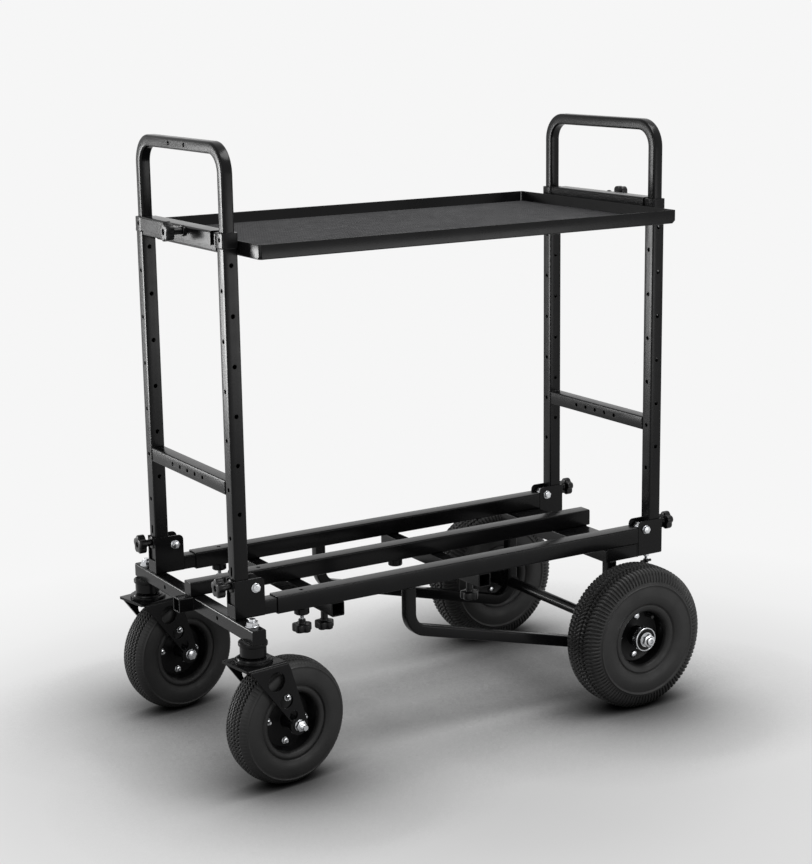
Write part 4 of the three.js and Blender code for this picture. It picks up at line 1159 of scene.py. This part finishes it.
def make_rails():
    low = RAIL_BOTTOM - 12
    collar = [(3.8, low), (11.6, low), (13, low + 1.2), (13, RAIL_BOTTOM - 1.6), (14, RAIL_BOTTOM - 0.6),
              (14.3, RAIL_BOTTOM + 0.5), (3.8, RAIL_BOTTOM + 0.5)]
    for name, y in RAIL_PLACES.items():
        x = COLLAR_X[name]
        bm = bmesh.new()
        add_square_tube(bm, RAIL_SIZE, 2.5, RAIL_WALL, RAIL_MOUTH, RAIL_ENDS[name],
                        moved(0, y, RAIL_CENTRE) @ ALONG_X, closed_high=True)
        bm = drill(bm, [((RAIL_LOCK_X, y, RAIL_CENTRE), (RAIL_LOCK_X, y, RAIL_TOP + PAST), HOLE_RADIUS),
                        ((x, y, RAIL_BOTTOM - PAST), (x, y, RAIL_CENTRE), PIN_HOLE_RADIUS)])
        add_lathe(bm, collar, moved(x, y, 0), 48, loop=True)
        add_frame_piece(f"rail_fine_{name}", bm, f"rail_{name}")


def make_inner_tubes():
    start = 52.3
    for name, side in SIDES.items():
        y = side * TRACK_Y
        bm = bmesh.new()
        add_square_tube(bm, TUBE_SIZE, 2, 2, start, TUBE_END, moved(0, y, RAIL_CENTRE) @ ALONG_X)
        hole = (RAIL_LOCK_X, y, RAIL_CENTRE - 20), (RAIL_LOCK_X, y, RAIL_CENTRE), PIN_HOLE_RADIUS
        bm = drill(bm, [hole])
        add_square_weld(bm, (start - 0.1, y, RAIL_CENTRE), TUBE_SIZE, "X", radius=1.1)
        add_frame_piece(f"inner_tube_fine_{name}", bm, f"inner_tube_{name}", "front_frame")


def node_box(node):
    """A node's lowest and highest corners in the cart's own millimetres."""
    return [np.array(corner) / MM - (FRONT_X / MM, 0, 0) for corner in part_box(node)]


def make_rear_member():
    """A channel of bent sheet, open below, closed at its ends."""
    sheet = 2.2
    (left, near, low), (right, far, high) = node_box("rear_cross_member")
    bend = sheet / 2
    outline = fold_outline([(left + bend, low), (left + bend, high - bend), (right - bend, high - bend),
                            (right - bend, low)], 3, sheet)
    bm = bmesh.new()
    add_slab(bm, outline, "Y", near, far)
    closed = [(left + 0.3, low + 0.3), (right - 0.3, low + 0.3), (right - 0.3, high - 3),
              (right - 3, high - 0.3), (left + 3, high - 0.3), (left + 0.3, high - 3)]
    add_slab(bm, closed, "Y", near + 0.4, near + 0.4 + sheet)
    add_slab(bm, closed, "Y", far - 0.4, far - 0.4 - sheet)
    for y in RAIL_PLACES.values():
        for x in (left + 1, right - 1):
            add_weld(bm, (x, max(y - 14, near), high), (x, min(y + 14, far), high))
    add_frame_piece("rear_member_fine", bm, "rear_cross_member")


def make_bracket_bolts():
    """A short bolt with a cross bar hangs under each rear bracket."""
    x = 862
    for name, side in SIDES.items():
        down = moved(x, side * TRACK_Y, 255.4) @ DOWN
        bm = bmesh.new()
        add_lathe(bm, [(7, 0), (7, 1), (6.6, 1.2)], down, 32)
        add_hex(bm, 10, 1.2, 6, down)
        add_lathe(bm, thread_profile(2.9, 6, 15, 1), down, 24)
        add_piece(f"bracket_bolt_{name}", bm, "zinc", "main_frame", spot(0, 0, 0))
        bm = bmesh.new()
        add_lathe(bm, [(4.4, 12), (5, 12.6), (5, 18.4), (4.4, 19)], down, 32)
        bar = moved(x, side * TRACK_Y, 239.6) @ ALONG_X
        add_lathe(bm, [(1.8, -12), (2.5, -11.2), (2.5, 11.2), (1.8, 12)], bar, 24)
        add_piece(f"bracket_bolt_grip_{name}", bm, "knob_plastic", "main_frame", spot(0, 0, 0))


def make_receivers():
    z = RAIL_BOTTOM - GAP - HALF_TUBE
    weld_z = z + 12.3
    reach = RECEIVER_HALF - 1
    for end, x in RECEIVER_X.items():
        bm = bmesh.new()
        add_square_tube(bm, TUBE_SIZE, 2.5, 2, -RECEIVER_HALF, RECEIVER_HALF, moved(x, 0, z) @ ALONG_Y)
        bm = drill(bm, [((x, RECEIVER_CLAMP_Y, z - 20), (x, RECEIVER_CLAMP_Y, z), PIN_HOLE_RADIUS)])
        for y in RAIL_PLACES.values():
            for edge in (x - 11.5, x + 11.5):
                add_weld(bm, (edge, max(y - 14, -reach), weld_z), (edge, min(y + 14, reach), weld_z))
        add_frame_piece(f"receiver_fine_{end}", bm, f"receiver_{end}")


def make_hoops():
    """A bent tube on each side, from the front receiver's end down to the axle and up to the cross member."""
    front_x = 336.5
    size = 20
    for name, side in SIDES.items():
        y = side * 161.5
        bm = bmesh.new()
        corners = [(front_x, y, RAIL_BOTTOM - GAP), (front_x, y, 205), (AXLE_X, y, 93.4), (AXLE_X, y, 255.4)]
        add_bent_tube(bm, corners, 35, size, 3, (0, 1, 0))
        for sign in (-1, 1):
            face = moved(AXLE_X, y + sign * size / 2, WHEEL_RADIUS)
            at = face @ (ALONG_Y if sign > 0 else ALONG_Y.inverted())
            add_lathe(bm, [(8.3, -0.5), (14, -0.5), (14, 0.2), (8.3, 0.2)], at, 40, loop=True)
        add_square_weld(bm, (front_x, y, RAIL_BOTTOM - 0.6), size, "Z", 3)
        add_square_weld(bm, (AXLE_X, y, 255.2), size, "Z", 3)
        add_frame_piece(f"hoop_fine_{name}", bm, f"hoop_{name}")


def make_caster_bar():
    """The bar across the front, the centre tube behind it, a stub before it and the kingpins' cups."""
    z = BAR_TOP - HALF_TUBE
    bm = bmesh.new()
    add_square_tube(bm, TUBE_SIZE, 3, 2, -235, 235, moved(KINGPIN_X, 0, z) @ ALONG_Y, True, True)
    bm = drill(bm, [((-8, y, z), (-1, y, z), HOLE_RADIUS) for y in (-105, 105)])
    add_square_tube(bm, TUBE_SIZE, 2, 2, -8, TUBE_END, moved(0, 0, RAIL_CENTRE) @ ALONG_X, closed_low=True)
    add_square_tube(bm, TUBE_SIZE, 3, 2, -30, -3.4, moved(0, 0, z) @ ALONG_X, closed_high=True)
    for side in (-1, 1):
        add_lathe(bm, [(6.4, 234.3), (21, 234.3), (22, 235.2), (22, 251.4), (22.6, 252), (24, 252.2),
                       (24.5, 253), (24.5, 257.4), (23.8, 258.4), (6.4, 258.4)],
                  moved(KINGPIN_X, side * CASTER_SPAN / 2, 0), loop=True)
    add_frame_piece("caster_bar_fine", bm, "caster_bar", "front_frame")


# Shelf

def make_tray():
    """A folded tray with a rounded rim, its corners relieved at the bottom and a seam cut beside each."""
    low, high = node_box("shelf_tray")
    length, width = high[0] - low[0], high[1] - low[1]
    middle = moved(length / 2 + low[0], 0, 0)
    bottom, top = low[2], high[2]
    profile = [(2.2, bottom), (0.9, bottom + 0.3), (0.2, bottom + 1), (0, bottom + 2), (0, top - 1),
               (0.15, top - 0.5), (0.5, top - 0.12), (1.05, top), (1.6, top - 0.12), (1.95, top - 0.5),
               (2.1, top - 1), (2.1, bottom + 3.2), (2.5, bottom + 2.3), (3.6, bottom + 2)]
    bm = bmesh.new()
    add_rings(bm, [box_ring(length - 2 * inset, width - 2 * inset, max(3.2 - inset, 0.8), z)
                   for inset, z in profile], middle)
    wedges = bmesh.new()
    seams = bmesh.new()
    for u, v in ((-1, -1), (1, -1), (1, 1), (-1, 1)):
        corner = Vector((u * length / 2, v * width / 2, bottom))
        points = [(-u * 8, 0, 0), (0, -v * 8, 0), (0, 0, 7), (u * 3, v * 3, -3)]
        verts = [wedges.verts.new(middle @ (corner + Vector(point))) for point in points]
        for face in ((0, 1, 2), (0, 1, 3), (1, 2, 3), (0, 2, 3)):
            wedges.faces.new([verts[i] for i in face])
        x = u * (length / 2 - 3.6)
        y = v * width / 2
        seam = [(x - 0.8, y + v), (x + 0.8, y + v), (x + 0.8, y - 3 * v), (x - 0.8, y - 3 * v)]
        add_slab(seams, seam, "Z", bottom + 2.5, top + 1, middle)
    bm = cut(cut(bm, wedges), seams)
    add_piece("shelf_tray_fine", bm, "powder_coat", "shelf", spot(0, 0, 0), ["shelf_tray"])


def make_mat():
    """A rubber mat with ribs along the cart."""
    low, high = node_box("shelf_mat")
    bottom, top = low[2], high[2]
    half_length, half_width = (high[0] - low[0]) / 2, (high[1] - low[1]) / 2
    middle = half_length + low[0]
    corner = 6
    pitch = 4
    valley = top - 0.7
    ribs = int((2 * half_width - pitch) // pitch)
    across = [(-half_width, bottom), (-half_width, valley)]
    for i in range(ribs):
        y = (i - ribs / 2) * pitch
        across += [(y + 0.6, valley), (y + 1.2, top), (y + 2.8, top), (y + 3.4, valley)]
    across += [(half_width, valley), (half_width, bottom)]

    def reach(y):
        over = max(0, abs(y) - (half_width - corner))
        return half_length - corner + math.sqrt(max(0, corner ** 2 - over ** 2))

    bm = bmesh.new()
    add_rings(bm, [[(middle + end * reach(y), y, z) for y, z in across] for end in (-1, 1)])
    add_piece("shelf_mat_fine", bm, "mat_rubber", "shelf", spot(0, 0, 0), ["shelf_mat"])


make_camera()
make_lights()
make_world()
make_floor()
paint_nodes()
make_axle()
for wheel_name, wheel_side in SIDES.items():
    make_rear_wheel(wheel_name, wheel_side)
    make_caster(wheel_name, wheel_side)
make_knobs()
for handle_end in HANDLES:
    make_handle(handle_end)
make_rails()
make_inner_tubes()
make_rear_member()
make_bracket_bolts()
make_receivers()
make_hoops()
make_caster_bar()
make_tray()
make_mat()

bpy.context.scene.view_settings.view_transform = "Standard"


def plain(box):
    return [[round(value, 6) for value in corner] for corner in box]
